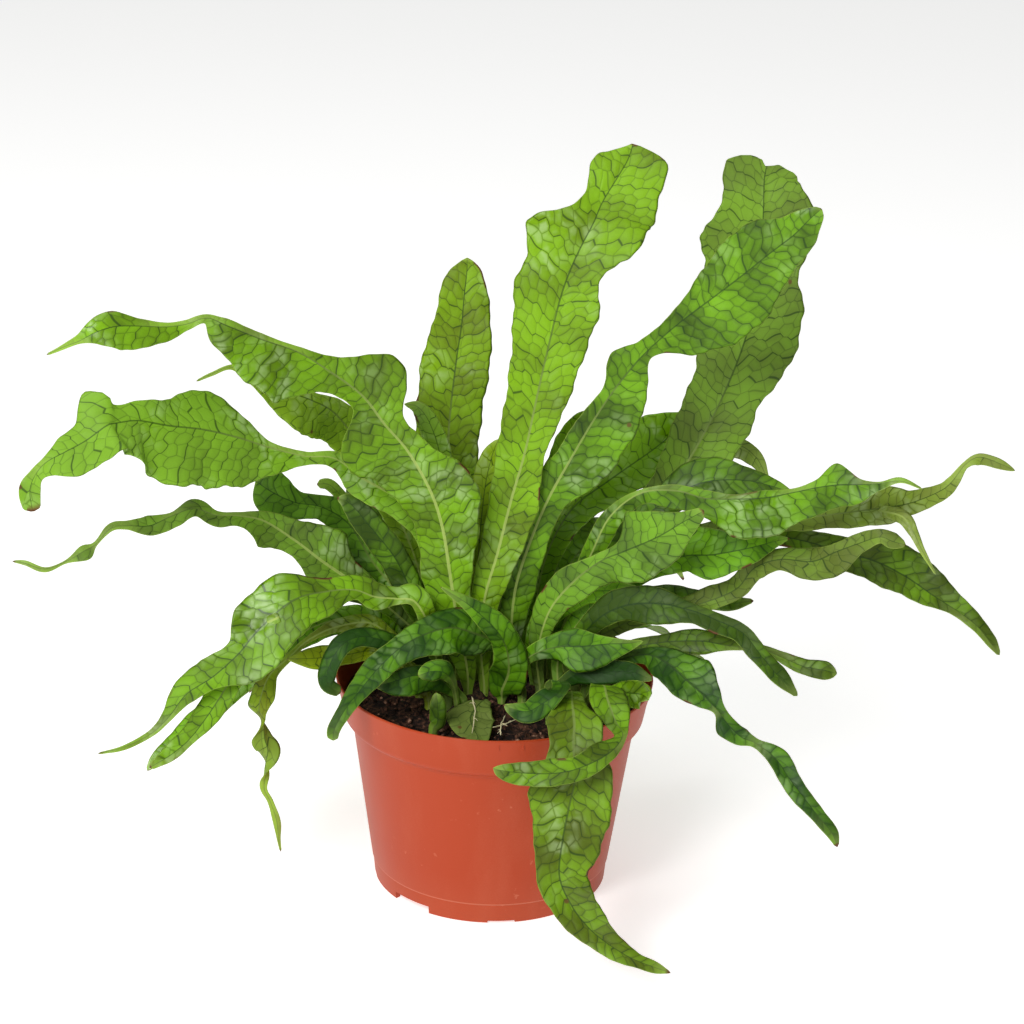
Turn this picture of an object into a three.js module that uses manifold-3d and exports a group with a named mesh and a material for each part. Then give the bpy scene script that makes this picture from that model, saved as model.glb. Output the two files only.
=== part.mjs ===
// Potted crocodile fern: a nursery pot full of peat, a creeping stem and its fronds.
// Millimetres, +Z up, the pot's foot on z = 0, the viewer on the -Y side.
import * as THREE from "three";
import { mergeVertices } from "three/addons/utils/BufferGeometryUtils.js";
import Module from "manifold-3d";

const wasm = await Module();
wasm.setup();

// Pot
const POT_HEIGHT = 110;
const RIM_RADIUS = 80;
const WALL = 1.4;
const FOOT_RADIUS = 59.2;
const FOOT_WIDTH = 3;
const FLOOR_UNDER = 4.6;
const CENTRE_FOOT = 10;
const FLOOR_TOP = 6;
const FLOOR_RADIUS = 58;
const FLOOR_BEND = 2.5;
const FOOT_LINE = 11;
const FOOT_LINE_RADIUS = 60.7;
const SHOULDER_LOW = 86;
const SHOULDER_HIGH = 91;
const BODY_RADIUS = 71.4;
const BAND_RADIUS = 76;
const BAND_MIDDLE = 99;
const POT_SIDES = 48;
const NOTCH_REACH = 5;
const NOTCH_EVERY = 90;
const WIDE_NOTCH = { at: -131, halfAngle: 11, height: 4 };
const NARROW_NOTCH = { at: -83.4, halfAngle: 6.6, height: 1.2 };
const DRAIN_HOLES = 8;
const DRAIN_RADIUS = 4;
const DRAIN_SIDES = 8;
const DRAIN_AT = 46;
const TAB = { at: -83.3, halfAngle: 4.6, low: 105.2, high: 109, radius: 79.8 };

// Peat
const GAP = 0.35;
const SOIL_RADIUS = 75.1;
const SOIL_RIM = 96;
const SOIL_MIDDLE = 101;
const SOIL_FALL = 4;
const SOIL_SIDES = 24;
const SOIL_RINGS = [69, 61, 53, 45, 37, 29, 21, 12];
const CRUMB_HEIGHT = 0.5;

// Sockets that the fronds stand in
const SOCKET_RADIUS = 4.4;
const SOCKET_SIDES = 4;
const SOCKET_FLOOR = 88;
const SOCKET_TOP = 130;

// Creeping stem
const STEM_RADIUS = 6;
const STEM_SIDES = 6;
const STEM_BRANCHES = [
  [[-52, 0, 94], [-38, 4, 96.5], [-20, 3, 97.5], [0, -2, 97.5], [24, 3, 97], [42, -5, 96.5], [54, -9, 94]],
  [[-22, -32, 94], [-14, -18, 96.5], [-6, 2, 97.5], [-1, 22, 97], [4, 46, 96], [5, 54, 93]],
];

// Dry roots
const ROOT_RADIUS = 0.45;
const ROOT_SIDES = 6;
const DRY_ROOTS = {
  dry_root_1: [[[-11, -24, 107.6], [-9, -38, 106], [-10, -58, 103.6]]],
  dry_root_2: [
    [[0, -52, 104.2], [4, -46, 102.6], [12, -35, 101.1]],
    [[4, -53, 100.6], [4, -46, 102.6], [6, -32, 101.6]],
  ],
};

// Fronds. A station is x, y, z of the midrib, the half-width to its left and its right,
// and the turn in degrees.
const FOOT = 88.3;
const STALK_TOP = 105;
const STALK_HALF = 2;
const FRONT = [0, -0.93, 0.36];
const LEFT = [-1, 0, 0];
const LEFT_UP = [-1, 0, 1];
const SUB = 24;
const BLADE_HALF = 0.42;
const KEEL = 0.5;
const DISH = 0.1;
const RUFFLE = 1.5;
const WAVES = 3;
const LAG = 1.9;
const THINNEST = 0.6;
const FRONDS = [
  { root: [-5, -6], across: 5, steps: 2, rows: [
    [-7, -6, 125, 4, 5], [-6, -6, 152, 7, 8], [0, -4, 177, 9, 11], [6, -1, 204, 11, 14],
    [12, 1, 228, 14, 10], [17, 5, 255, 15, 15], [22, 10, 280, 18, 18], [27, 14, 303, 23, 20],
    [32, 18, 318, 23, 15], [37, 21, 329, 29, 21], [42, 23, 339, 16, 25], [46, 28, 348, 10, 27],
    [54, 33, 361, 15, 23], [58, 36, 368, 10, 20], [60, 38, 375, 2, 16],
  ] },
  { root: [-20, 14], across: 5, rows: [
    [-20, 14, 143, 4, 4], [-23, 16, 186, 11, 11], [-26, 22, 221, 16, 15], [-25, 27, 245, 17, 16],
    [-23, 32, 265, 17, 17], [-21, 35, 281, 14, 15], [-20, 39, 296, 12, 12], [-19, 42, 307, 9, 8],
    [-19, 43, 314, 1.5, 1.5],
  ] },
  { root: [-13, -12], across: 5, steps: 2, rows: [
    [-14, -12, 119, 6, 5], [-19, -13, 144, 11, 7], [-23, -14, 168, 14, 11],
    [-27, -18, 194, 13, 18], [-33, -25, 216, 16, 22], [-44, -32, 239, 22, 10],
    [-55, -39, 255, 27, 10], [-65, -46, 271, 8, 24], [-80, -55, 286, 11, 8],
    [-94, -64, 298, 25, 2.5], [-110, -74, 307, 21, 2.5], [-124, -84, 316, 12, 3],
    [-133, -91, 322, 3.5, 2.5, -40], [-142, -95, 320, 3, 2, -20], [-151, -100, 320, 7, 2],
    [-162, -106, 322, 10, 3.5], [-172, -111, 323, 11, 7], [-180, -114, 321, 6, 6],
    [-187, -114, 317, 1.5, 3], [-196, -114, 313, 1, 1], [-202, -114, 310, 0.5, 0.5],
  ] },
  { root: [-22, 3], lean: 20, across: 5, rows: [
    [-25, 0, 127, 3.5, 3.5], [-27, -5, 162, 6, 6], [-35, -11, 190, 7, 7], [-48, -17, 208, 9, 8],
    [-65, -24, 221, 10, 9], [-79, -34, 235, 5, 3.5], [-93, -40, 238, 5, 2.5],
    [-109, -48, 245, 15, 3], [-122, -56, 252, 24, 11], [-138, -65, 259, 28, 19],
    [-153, -75, 264, 28, 13], [-166, -83, 269, 24, 9], [-175, -90, 270, 17, 9],
    [-179, -94, 270, 15, 18], [-188, -98, 264, 15, 10], [-197, -103, 260, 14, 7],
    [-205, -106, 256, 8, 3], [-210, -106, 250, 4, 3], [-213, -106, 242, 5, 5], [-212, -106, 232, 4, 4],
  ] },
  { root: [-30, 8], lean: 20, rows: [
    [-37, 5, 125, 3.5, 3.5], [-58, -3, 149, 6, 6], [-75, -12, 165, 11, 10],
    [-86, -17, 175, 11, 18], [-99, -21, 187, 7, 11], [-113, -29, 200, 13, 5],
    [-125, -36, 205, 6, 2], [-135, -41, 207, 6, 2.5], [-145, -46, 212, 4, 5],
    [-155, -51, 210, 6, 2], [-165, -57, 207, 5, 5], [-175, -63, 209, 2, 2.5],
    [-182, -67, 209, 1.5, 2.5], [-189, -70, 202, 1, 1.5], [-194, -74, 200, 5, 3],
    [-202, -78, 196, 1, 1], [-211, -83, 194, 1.5, 1], [-220, -84, 197, 1, 1.5],
    [-226, -84, 198, 0.5, 0.5],
  ] },
  { root: [-29, -11], lean: 20, across: 5, rows: [
    [-29, -14, 122, 3, 3], [-33, -21, 144, 4, 5], [-40, -27, 159, 2.5, 8], [-49, -29, 161, 3, 6],
    [-59, -32, 163, 7, 7], [-69, -36, 168, 5, 8], [-82, -41, 169, 12, 7], [-98, -49, 167, 16, 15],
    [-113, -56, 155, 18, 15], [-123, -62, 144, 18, 7], [-135, -68, 134, 7, 10],
    [-147, -73, 127, 5, 8], [-155, -78, 117, 2, 4], [-163, -82, 110, 1.5, 2],
    [-175, -89, 106, 1.5, 1], [-187, -93, 104, 0.5, 0.5],
  ], fork: [
    [-104, -55, 164, 2.5, 2.5], [-113, -53, 155, 3.5, 3.5], [-120, -57, 141, 6, 6],
    [-128, -62, 128, 6, 9], [-136, -68, 116, 6, 7], [-145, -72, 104, 3, 6], [-154, -77, 97, 3, 5],
    [-164, -82, 92, 1.5, 1.5],
  ] },
  { root: [-37, 2], lean: 20, rows: [
    [-44, -1, 122, 4, 4], [-62, -12, 141, 7, 7], [-82, -17, 143, 8, 6], [-102, -22, 134, 8, 7],
    [-118, -28, 122, 7, 8], [-134, -37, 105, 4, 8], [-146, -49, 98, 4, 7], [-156, -55, 90, 4, 6],
    [-164, -58, 85, 3, 3], [-168, -61, 80, 1, 1],
  ] },
  { root: [-38, -7], rows: [
    [-45, -10, 123, 3, 3], [-60, -17, 142, 4, 4], [-77, -25, 144, 3, 4], [-91, -33, 140, 1.5, 2],
    [-101, -41, 133, 2, 2], [-109, -47, 127, 4, 4], [-113, -50, 117, 8, 6, 20],
    [-114, -51, 109, 5, 8, 40], [-113, -50, 103, 5, 5, 90], [-112, -50, 94, 7, 5, 150],
    [-110, -50, 87, 5, 6, 180], [-111, -50, 77, 3.5, 3.5, 265], [-112, -50, 67, 1.5, 2, 350],
    [-109, -49, 59, 1.5, 1.5, 360], [-106, -48, 48, 2, 2, 360], [-105, -48, 38, 1, 1, 360],
    [-104, -48, 31, 0.5, 0.5, 360],
  ] },
  { root: [-33, -20], lean: 20, rows: [
    [-43, -22, 116, 2.5, 2.5], [-58, -26, 131, 4, 3.5], [-74, -33, 132, 5, 5],
    [-88, -40, 133, 6, 6], [-101, -46, 135, 0.5, 0.5],
  ] },
  { root: [-23, -20], lean: 20, rows: [
    [-31, -23, 121, 3, 3], [-40, -27, 131, 4, 4], [-49, -32, 138, 5, 5], [-64, -37, 144, 5, 5],
    [-74, -43, 142, 5, 5], [-80, -47, 133, 5, 5], [-81, -49, 124, 4, 4], [-75, -47, 118, 3, 2.5],
  ] },
  { root: [2, 4], lean: 20, across: 5, rows: [
    [4, -5, 115, 3, 3], [1, -13, 131, 5, 7], [-9, -21, 140, 11, 12], [-22, -28, 146, 14, 10],
    [-36, -34, 144, 12, 8], [-47, -40, 139, 8, 6], [-57, -47, 131, 7, 7], [-65, -55, 123, 5, 6],
    [-71, -62, 117, 4, 4], [-76, -68, 109, 3, 3.5], [-77, -69, 103, 2.5, 2.5],
  ] },
  { root: [-15, -26], rows: [
    [-19, -28, 111, 3, 3], [-28, -32, 121, 7, 5], [-39, -37, 124, 10, 5], [-50, -41, 122, 7, 4],
    [-59, -44, 121, 0.5, 0.5],
  ], fork: [
    [-18, -28, 104, 1.5, 1.5], [-19, -31, 113, 1.5, 1.5], [-21, -38, 123, 2.5, 2.5],
    [-25, -43, 129, 4, 6], [-31, -45, 130, 5, 5], [-37, -46, 128, 2, 2],
  ] },
  { root: [-29, -52], stalk: 102, rows: [
    [-27, -52, 106, 4, 4], [-27, -51, 115, 4, 4], [-28, -50, 121, 1.5, 1.5],
  ] },
  { root: [4, -14], stalk: 102, across: 5, rows: [
    [4, -16, 108, 7, 9], [7, -19, 119, 10, 10], [6, -23, 132, 7, 9], [2, -27, 143, 6, 8],
    [-6, -30, 153, 5, 7], [-15, -33, 162, 3, 3.5], [-23, -35, 168, 1.5, 1.5],
    [-27, -36, 171, 0.5, 0.5],
  ] },
  { root: [27, 21], across: 5, steps: 2, rows: [
    [27, 21, 114, 3.5, 3.5], [36, 22, 136, 5, 5], [51, 23, 164, 7, 7], [71, 27, 184, 9, 9],
    [86, 31, 201, 11, 13], [96, 35, 217, 15, 17], [104, 39, 232, 17, 20], [112, 43, 250, 18, 19],
    [119, 48, 269, 22, 25], [124, 53, 289, 24, 25], [126, 57, 309, 28, 20], [127, 62, 326, 30, 27],
    [127, 64, 339, 21, 25], [127, 68, 351, 21, 17], [128, 68, 358, 19, 15], [129, 68, 362, 14, 8],
  ] },
  { root: [11, 1], across: 5, steps: 2, rows: [
    [8, 0, 128, 5, 5], [9, 0, 155, 7, 10], [15, 1, 178, 10, 9], [24, 2, 203, 12, 9],
    [34, 2, 224, 8, 19], [44, 1, 244, 7, 21], [53, 0, 260, 5, 19], [62, -3, 274, 12, 11],
    [70, -6, 285, 6, 4], [84, -12, 301, 6, 18], [99, -16, 315, 12, 24], [112, -21, 328, 17, 22],
    [123, -24, 339, 18, 15], [134, -28, 350, 11, 11], [141, -31, 359, 6, 7],
    [146, -31, 364, 2, 3],
  ] },
  { root: [18, 26], across: 5, rows: [
    [19, 27, 128, 4, 4], [24, 28, 161, 7, 7], [36, 30, 187, 10, 10], [55, 35, 202, 15, 12],
    [76, 42, 216, 19, 13], [90, 48, 226, 10, 9], [102, 53, 232, 1, 1],
  ] },
  { root: [-2, 20], rows: [
    [2, 21, 130, 4, 4], [11, 23, 162, 7, 7], [23, 24, 189, 9, 9], [36, 28, 212, 13, 12],
    [44, 33, 229, 12, 8], [50, 35, 240, 2, 2],
  ] },
  { root: [-8, 12], rows: [
    [-9, 8, 124, 3.5, 3.5], [-10, 9, 157, 5, 5], [-9, 10, 183, 6, 7], [-7, 11, 207, 7, 7],
    [-4, 13, 222, 5, 6], [-1, 14, 230, 1, 1.5],
  ] },
  { root: [23, -9], across: 5, rows: [
    [21, -11, 125, 4, 4], [26, -15, 150, 8, 6], [37, -19, 168, 9, 10], [50, -22, 181, 4, 12],
    [61, -26, 188, 6, 16], [70, -30, 194, 17, 17], [79, -35, 201, 14, 14], [88, -39, 209, 6, 9],
    [98, -43, 217, 2, 2.5],
  ] },
  { root: [20, 2], rows: [
    [18, 1, 120, 3, 3], [22, -3, 137, 6, 6], [31, -8, 150, 7, 6], [44, -12, 160, 7, 6],
    [57, -15, 163, 5, 7], [69, -19, 167, 0.5, 0.5],
  ] },
  { root: [30, 2], lean: 20, across: 5, rows: [
    [30, 0, 123, 3.5, 3.5], [38, -2, 152, 4, 4], [47, -5, 180, 5, 6], [55, -9, 200, 4, 7],
    [69, -14, 214, 2, 6], [86, -17, 217, 3, 10], [100, -21, 215, 4, 9], [114, -26, 217, 2.5, 19],
    [128, -31, 220, 4, 21], [141, -36, 225, 2, 17], [152, -39, 229, 4, 14],
    [161, -43, 232, 10, 12], [171, -47, 234, 3, 9], [180, -50, 236, 1, 4], [189, -54, 239, 2, 1],
    [199, -58, 237, 0.5, 0.5],
  ] },
  { root: [36, 10], lean: 20, rows: [
    [39, 10, 125, 3.5, 3.5], [57, 8, 154, 5, 5], [90, 5, 180, 6, 6], [129, -3, 196, 7, 7],
    [157, -12, 204, 8, 7], [176, -19, 210, 8, 8], [189, -26, 215, 10, 8], [199, -34, 221, 6, 6],
    [210, -42, 230, 3.5, 5], [215, -46, 237, 2.5, 3.5], [220, -48, 246, 1.5, 2],
    [226, -51, 251, 2, 4], [235, -57, 250, 2.5, 3], [242, -57, 247, 0.5, 0.5],
  ], fork: [
    [184, -20, 211, 2.5, 2.5], [193, -41, 216, 3.5, 3.5], [198, -48, 211, 2.5, 2.5],
    [202, -53, 204, 1.5, 1.5], [209, -56, 193, 0.5, 0.5],
  ] },
  { root: [32, -8], lean: 20, across: 5, rows: [
    [33, -8, 127, 4, 4], [51, -8, 155, 7, 6], [73, -10, 171, 7, 5], [91, -13, 181, 16, 8],
    [105, -17, 184, 13, 13], [120, -21, 189, 8, 9], [134, -18, 192, 4, 4],
    [142, -20, 195, 0.5, 0.5],
  ] },
  { root: [40, -1], lean: 20, rows: [
    [40, -2, 122, 3, 3], [62, -3, 139, 4, 4], [84, -6, 148, 4, 4], [103, -11, 156, 7, 5],
    [118, -14, 165, 6, 5], [126, -18, 178, 5, 6], [138, -23, 185, 6, 6], [153, -27, 186, 7, 10],
    [164, -33, 194, 4, 11], [175, -38, 201, 5, 5], [183, -43, 206, 4, 3], [189, -46, 205, 5, 4],
    [195, -47, 204, 1.5, 1.5],
  ] },
  { root: [44, 14], lean: 20, across: 5, rows: [
    [45, 15, 128, 3, 3], [59, 16, 158, 5, 5], [86, 17, 175, 5, 5], [118, 13, 184, 6, 6],
    [147, 7, 184, 6, 5], [169, 0, 181, 8, 8], [187, -8, 179, 14, 11], [201, -14, 174, 14, 11],
    [213, -21, 168, 11, 7], [225, -26, 162, 7, 3], [235, -31, 156, 5, 3],
    [242, -33, 148, 4, 2], [247, -33, 142, 1, 1],
  ] },
  { root: [41, -11], lean: 20, rows: [
    [37, -14, 124, 3.5, 3.5], [47, -18, 145, 6, 5], [61, -22, 157, 9, 7], [78, -28, 162, 8, 11],
    [95, -33, 161, 4, 7], [108, -38, 158, 4, 7], [120, -43, 154, 4, 6], [129, -49, 145, 4, 5],
    [138, -54, 136, 5, 4], [147, -57, 128, 1, 1.5],
  ] },
  { root: [40, 24], rows: [
    [40, 24, 119, 2.5, 2.5], [59, 21, 140, 5, 5], [85, 17, 147, 6, 4], [102, 14, 147, 5, 4],
    [117, 13, 146, 4, 4], [129, 10, 149, 1, 1],
  ] },
  { root: [49, -4], lean: 20, rows: [
    [47, -6, 115, 3, 3], [62, -10, 128, 4, 4], [82, -16, 136, 4, 5], [101, -22, 140, 6, 7],
    [115, -27, 140, 4, 2.5], [130, -32, 141, 2.5, 1.5], [141, -35, 138, 3, 3],
    [151, -38, 135, 4, 4], [161, -42, 135, 5, 5], [167, -43, 134, 1.5, 2],
  ] },
  { root: [45, -20], lean: 20, rows: [
    [47, -21, 116, 2.5, 2.5], [59, -23, 128, 3, 3], [74, -29, 135, 4, 5], [85, -37, 134, 9, 10],
    [95, -45, 128, 14, 10], [103, -51, 123, 9, 7], [109, -56, 118, 4, 2],
    [114, -60, 113, 4, 7], [120, -65, 109, 5, 5], [127, -70, 108, 2.5, 2.5],
    [136, -77, 104, 6, 4], [143, -83, 96, 5, 5], [150, -89, 89, 4, 5], [157, -95, 82, 4, 3.5],
    [163, -99, 76, 3.5, 3], [166, -102, 70, 1, 1],
  ] },
  { root: [14, -12], across: 5, rows: [
    [12, -16, 115, 2.5, 2.5], [17, -20, 128, 4, 3], [30, -25, 136, 7, 7], [42, -28, 138, 9, 13],
    [54, -31, 141, 4, 10], [64, -34, 143, 2, 5], [72, -40, 147, 0.5, 0.5],
  ] },
  { root: [37, -27], side: LEFT, across: 5, rows: [
    [38, -38, 117, 4, 4], [38, -52, 123, 5, 5], [38, -67, 125, 7, 7], [39, -80, 121, 13, 13],
    [39, -88, 111, 14, 12], [40, -93, 98, 18, 18], [38, -97, 87, 20, 20], [35, -102, 70, 19, 14],
    [34, -108, 53, 14, 11], [40, -116, 42, 12, 10], [48, -124, 35, 10, 8], [57, -130, 30, 7, 6],
    [68, -136, 26, 5, 5], [78, -140, 24, 3.5, 3.5], [87, -142, 22, 0.5, 0.5],
  ] },
  { root: [47, -29], side: LEFT_UP, across: 5, rows: [
    [48, -40, 116, 3, 3, 28], [53, -50, 127, 7, 6, 41], [55, -64, 126, 10, 9, 46],
    [59, -76, 120, 7, 6, 47], [62, -88, 118, 2, 4, 43], [55, -99, 114, 4, 8, 38],
    [41, -105, 109, 6, 6, 28], [28, -107, 107, 6, 7, 22], [14, -107, 107, 6, 5, 20],
    [5, -107, 108, 4, 3, 15], [1, -107, 109, 1, 1, 15],
  ] },
  { root: [51, -13], rows: [
    [55, -27, 111, 2.5, 2.5], [64, -42, 120, 6, 6], [72, -52, 124, 6, 7], [75, -58, 124, 1.5, 2],
  ] },
  { root: [28, -34], side: LEFT_UP, rows: [
    [27, -38, 119, 2.5, 2.5, 20], [31, -49, 128, 4, 4, 35], [33, -62, 131, 4, 5, 45],
    [30, -71, 131, 4, 6, 40], [24, -74, 128, 6, 6, 30], [17, -77, 125, 6, 5, 20],
    [10, -77, 126, 4, 3, 20], [5, -77, 128, 0.5, 0.5, 20],
  ] },
  { root: [28, -18], rows: [
    [29, -23, 111, 2, 2], [40, -27, 122, 4, 5], [52, -30, 125, 6, 6], [66, -32, 127, 5, 6],
    [78, -34, 124, 1, 1],
  ] },
  { root: [29, 30], rows: [
    [30, 30, 121, 3, 3], [51, 31, 160, 5, 5], [76, 40, 190, 5, 5], [101, 49, 212, 6, 6],
    [119, 54, 216, 4, 7], [130, 55, 209, 3.5, 5], [137, 56, 196, 1, 1],
  ] },
  { root: [-31, 18], lean: 20, rows: [
    [-33, 18, 119, 3.5, 3.5], [-41, 14, 164, 6, 6], [-57, 8, 204, 8, 8], [-71, -1, 233, 11, 10],
    [-81, -10, 250, 15, 7], [-92, -18, 259, 18, 4], [-104, -26, 266, 13, 6], [-117, -34, 275, 5, 4],
    [-127, -41, 282, 1.5, 1.5], [-136, -46, 280, 1, 1], [-143, -48, 277, 0.5, 0.5],
  ] },
  { root: [-39, 12], lean: 20, across: 5, rows: [
    [-38, 12, 116, 4, 4], [-48, 8, 145, 11, 10], [-63, 6, 167, 18, 13], [-74, 5, 186, 11, 15],
    [-87, -1, 197, 7, 6], [-100, -8, 202, 9, 7], [-111, -15, 210, 12, 11], [-118, -20, 217, 4, 4],
  ] },
  { root: [-22, -6], rows: [
    [-28, -7, 125, 3.5, 3.5], [-40, -9, 152, 7, 6], [-50, -12, 175, 8, 7], [-63, -18, 195, 7, 7],
    [-72, -23, 208, 5, 5], [-78, -26, 212, 1, 1],
  ] },
  { root: [-45, 5], rows: [
    [-48, 8, 109, 2.5, 2.5], [-56, 14, 137, 3, 3], [-66, 15, 168, 3.5, 3.5],
    [-73, 14, 185, 3.5, 3.5], [-77, 10, 197, 3, 3], [-84, 7, 206, 3, 3], [-90, 5, 207, 2, 2],
  ] },
  { root: [-14, 3], rows: [
    [-17, 3, 137, 4, 4], [-26, -2, 193, 7, 7], [-29, -4, 225, 6, 6], [-34, -6, 243, 6, 5],
    [-40, -8, 253, 4, 3], [-47, -9, 255, 0.5, 0.5],
  ] },
  { root: [24, 12], lean: 20, rows: [
    [25, 11, 124, 3.5, 3.5], [42, 9, 155, 5, 5], [63, 9, 183, 7, 7], [83, 9, 202, 9, 8],
    [101, 9, 212, 13, 9], [121, 8, 214, 7, 9], [136, 5, 212, 4, 4], [146, 3, 209, 0.5, 0.5],
  ] },
  { root: [-4, -21], stalk: 101, side: LEFT, across: 5, rows: [
    [-4, -25, 105, 3, 3], [-8, -32, 105, 8, 8], [-11, -40, 103, 12, 12], [-10, -48, 102, 11, 11],
    [-7, -58, 101, 6, 6], [-5, -68, 101, 1, 1],
  ] },
];

// Fronds behind the front ones: bearing of the root, its distance from the middle, the reach,
// the rise and the sag.
const BACK_FRONDS = [
  [44, 50, 110, 12, 60],
  [60, 44, 150, 60, 70],
  [70, 34, 100, 95, 60],
  [86, 48, 160, 55, 75],
  [98, 36, 100, 95, 50],
  [112, 46, 150, 60, 70],
  [130, 32, 100, 115, 60],
  [133, 46, 120, 34, 80],
  [147, 50, 110, 14, 70],
  [165, 55, 75, 30, 60],
];
const BACK_STATIONS = 9;
const BACK_HALF = 15;
const BACK_SWAY = 7;

const PAINT = {
  pot: { color: 0xc4563a, roughness: 0.45 },
  soil: { color: 0x33231a, roughness: 1 },
  rhizome: { color: 0x5c4426, roughness: 0.9 },
  dryRoot: { color: 0xcdb58a, roughness: 0.8 },
  fronds: [0x3f8a1e, 0x4d9a24, 0x57a42c, 0x3a7d22, 0x6aae38].map((color) => ({ color, roughness: 0.4 })),
};

const radians = (degrees) => (degrees * Math.PI) / 180;
const onRing = (radius, bearing) => {
  const angle = radians(bearing);
  return [radius * Math.cos(angle), radius * Math.sin(angle)];
};
const vector = ([x, y, z]) => new THREE.Vector3(x, y, z);

// A closed geometry as a solid that can be cut and joined.
function solidOf(geometry) {
  const bare = new THREE.BufferGeometry();
  bare.setAttribute("position", geometry.getAttribute("position"));
  bare.setIndex(geometry.index);
  const merged = mergeVertices(bare, 1e-3);
  const corners = merged.index.array;
  const triVerts = [];
  for (let i = 0; i < corners.length; i += 3) {
    const [a, b, c] = corners.slice(i, i + 3);
    if (a !== b && b !== c && c !== a) {
      triVerts.push(a, b, c);
    }
  }
  const vertProperties = merged.getAttribute("position").array;
  const mesh = new wasm.Mesh({ numProp: 3, vertProperties, triVerts: new Uint32Array(triVerts) });
  return new wasm.Manifold(mesh);
}

// The biggest body of a solid, without the scraps that a cut leaves.
function biggest(solid) {
  return solid.decompose().reduce((best, body) => (body.volume() > best.volume() ? body : best));
}

function meshOf(solid, name, paint) {
  const data = solid.getMesh();
  const geometry = new THREE.BufferGeometry();
  geometry.setAttribute("position", new THREE.BufferAttribute(data.vertProperties, 3));
  geometry.setIndex(new THREE.BufferAttribute(data.triVerts, 1));
  geometry.computeVertexNormals();
  const mesh = new THREE.Mesh(geometry, new THREE.MeshStandardMaterial({ ...paint, metalness: 0 }));
  mesh.name = name;
  return mesh;
}

// A profile of [radius, height] turned about Z, from the axis below to the axis above.
function turned(profile, sides) {
  const points = profile.map(([radius, height]) => new THREE.Vector2(radius, height));
  return new THREE.LatheGeometry(points, sides).rotateX(Math.PI / 2);
}

function peg([x, y], radius, sides, low, high) {
  const post = new THREE.CylinderGeometry(radius, radius, high - low, sides);
  return solidOf(post.rotateX(Math.PI / 2).translate(x, y, (low + high) / 2));
}

// A curved block between two radii.
function sector(at, halfAngle, inner, outer, low, high) {
  const [from, to] = [radians(at - halfAngle), radians(at + halfAngle)];
  const outline = new THREE.Shape();
  outline.absarc(0, 0, outer, from, to, false);
  outline.absarc(0, 0, inner, to, from, true);
  const settings = { depth: high - low, bevelEnabled: false, curveSegments: 2 };
  return solidOf(new THREE.ExtrudeGeometry(outline, settings).translate(0, 0, low));
}

// A tube along a line of points.
function tube(line, radius, sides) {
  const path = new THREE.CatmullRomCurve3(line.map(vector));
  const corners = Array.from({ length: sides }, (_, i) => onRing(radius, (360 * i) / sides));
  const section = new THREE.Shape(corners.map(([x, y]) => new THREE.Vector2(x, y)));
  const settings = { steps: line.length, extrudePath: path, bevelEnabled: false };
  return solidOf(new THREE.ExtrudeGeometry(section, settings));
}

const joined = (solids) => solids.reduce((all, piece) => all.add(piece));

function potSolid() {
  const outside = [
    [FOOT_RADIUS, 0],
    [FOOT_LINE_RADIUS - 0.5, FOOT_LINE - 0.4],
    [FOOT_LINE_RADIUS, FOOT_LINE],
    [BODY_RADIUS, SHOULDER_LOW],
    [BODY_RADIUS + 1.6, SHOULDER_LOW + 2],
    [BAND_RADIUS - 0.8, SHOULDER_HIGH - 1.4],
    [BAND_RADIUS, SHOULDER_HIGH],
    [BAND_RADIUS + 1.5, BAND_MIDDLE],
    [RIM_RADIUS, POT_HEIGHT - 1],
    [RIM_RADIUS - 0.3, POT_HEIGHT],
  ];
  const inside = [
    [RIM_RADIUS - WALL, POT_HEIGHT],
    [BAND_RADIUS - WALL, SHOULDER_HIGH],
    [BODY_RADIUS - WALL, SHOULDER_LOW],
    [FOOT_RADIUS, FLOOR_TOP + FLOOR_BEND],
    [FLOOR_RADIUS, FLOOR_TOP],
  ];
  const under = [
    [0, 0],
    [CENTRE_FOOT, 0],
    [CENTRE_FOOT, FLOOR_UNDER],
    [FOOT_RADIUS - FOOT_WIDTH, FLOOR_UNDER],
    [FOOT_RADIUS - FOOT_WIDTH, 0],
  ];
  let pot = solidOf(turned([...under, ...outside, ...inside, [0, FLOOR_TOP]], POT_SIDES));
  for (const { at, halfAngle, height } of [WIDE_NOTCH, NARROW_NOTCH]) {
    for (let turn = 0; turn < 360; turn += NOTCH_EVERY) {
      const [inner, outer] = [FOOT_RADIUS - NOTCH_REACH, FOOT_RADIUS + NOTCH_REACH];
      pot = pot.subtract(sector(at + turn, halfAngle, inner, outer, -1, height));
    }
  }
  for (let i = 0; i < DRAIN_HOLES; i++) {
    const place = onRing(DRAIN_AT, WIDE_NOTCH.at + (360 * i) / DRAIN_HOLES);
    pot = pot.subtract(peg(place, DRAIN_RADIUS, DRAIN_SIDES, FLOOR_UNDER - 2, FLOOR_TOP + 2));
  }
  return pot.add(sector(TAB.at, TAB.halfAngle, RIM_RADIUS - 2, TAB.radius, TAB.low, TAB.high));
}

const socket = (root) => peg(root, SOCKET_RADIUS, SOCKET_SIDES, SOCKET_FLOOR, SOCKET_TOP);

function rhizomeSolid(roots) {
  const stem = joined(STEM_BRANCHES.map((line) => tube(line, STEM_RADIUS, STEM_SIDES)));
  return biggest(roots.reduce((left, root) => left.subtract(socket(root)), stem));
}

// The same branch, a little longer at both ends.
function longer(line) {
  const beyond = (end, next) => end.map((v, i) => v + 0.05 * (v - next[i]));
  return [beyond(line[0], line[1]), ...line.slice(1, -1), beyond(line.at(-1), line.at(-2))];
}

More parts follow.
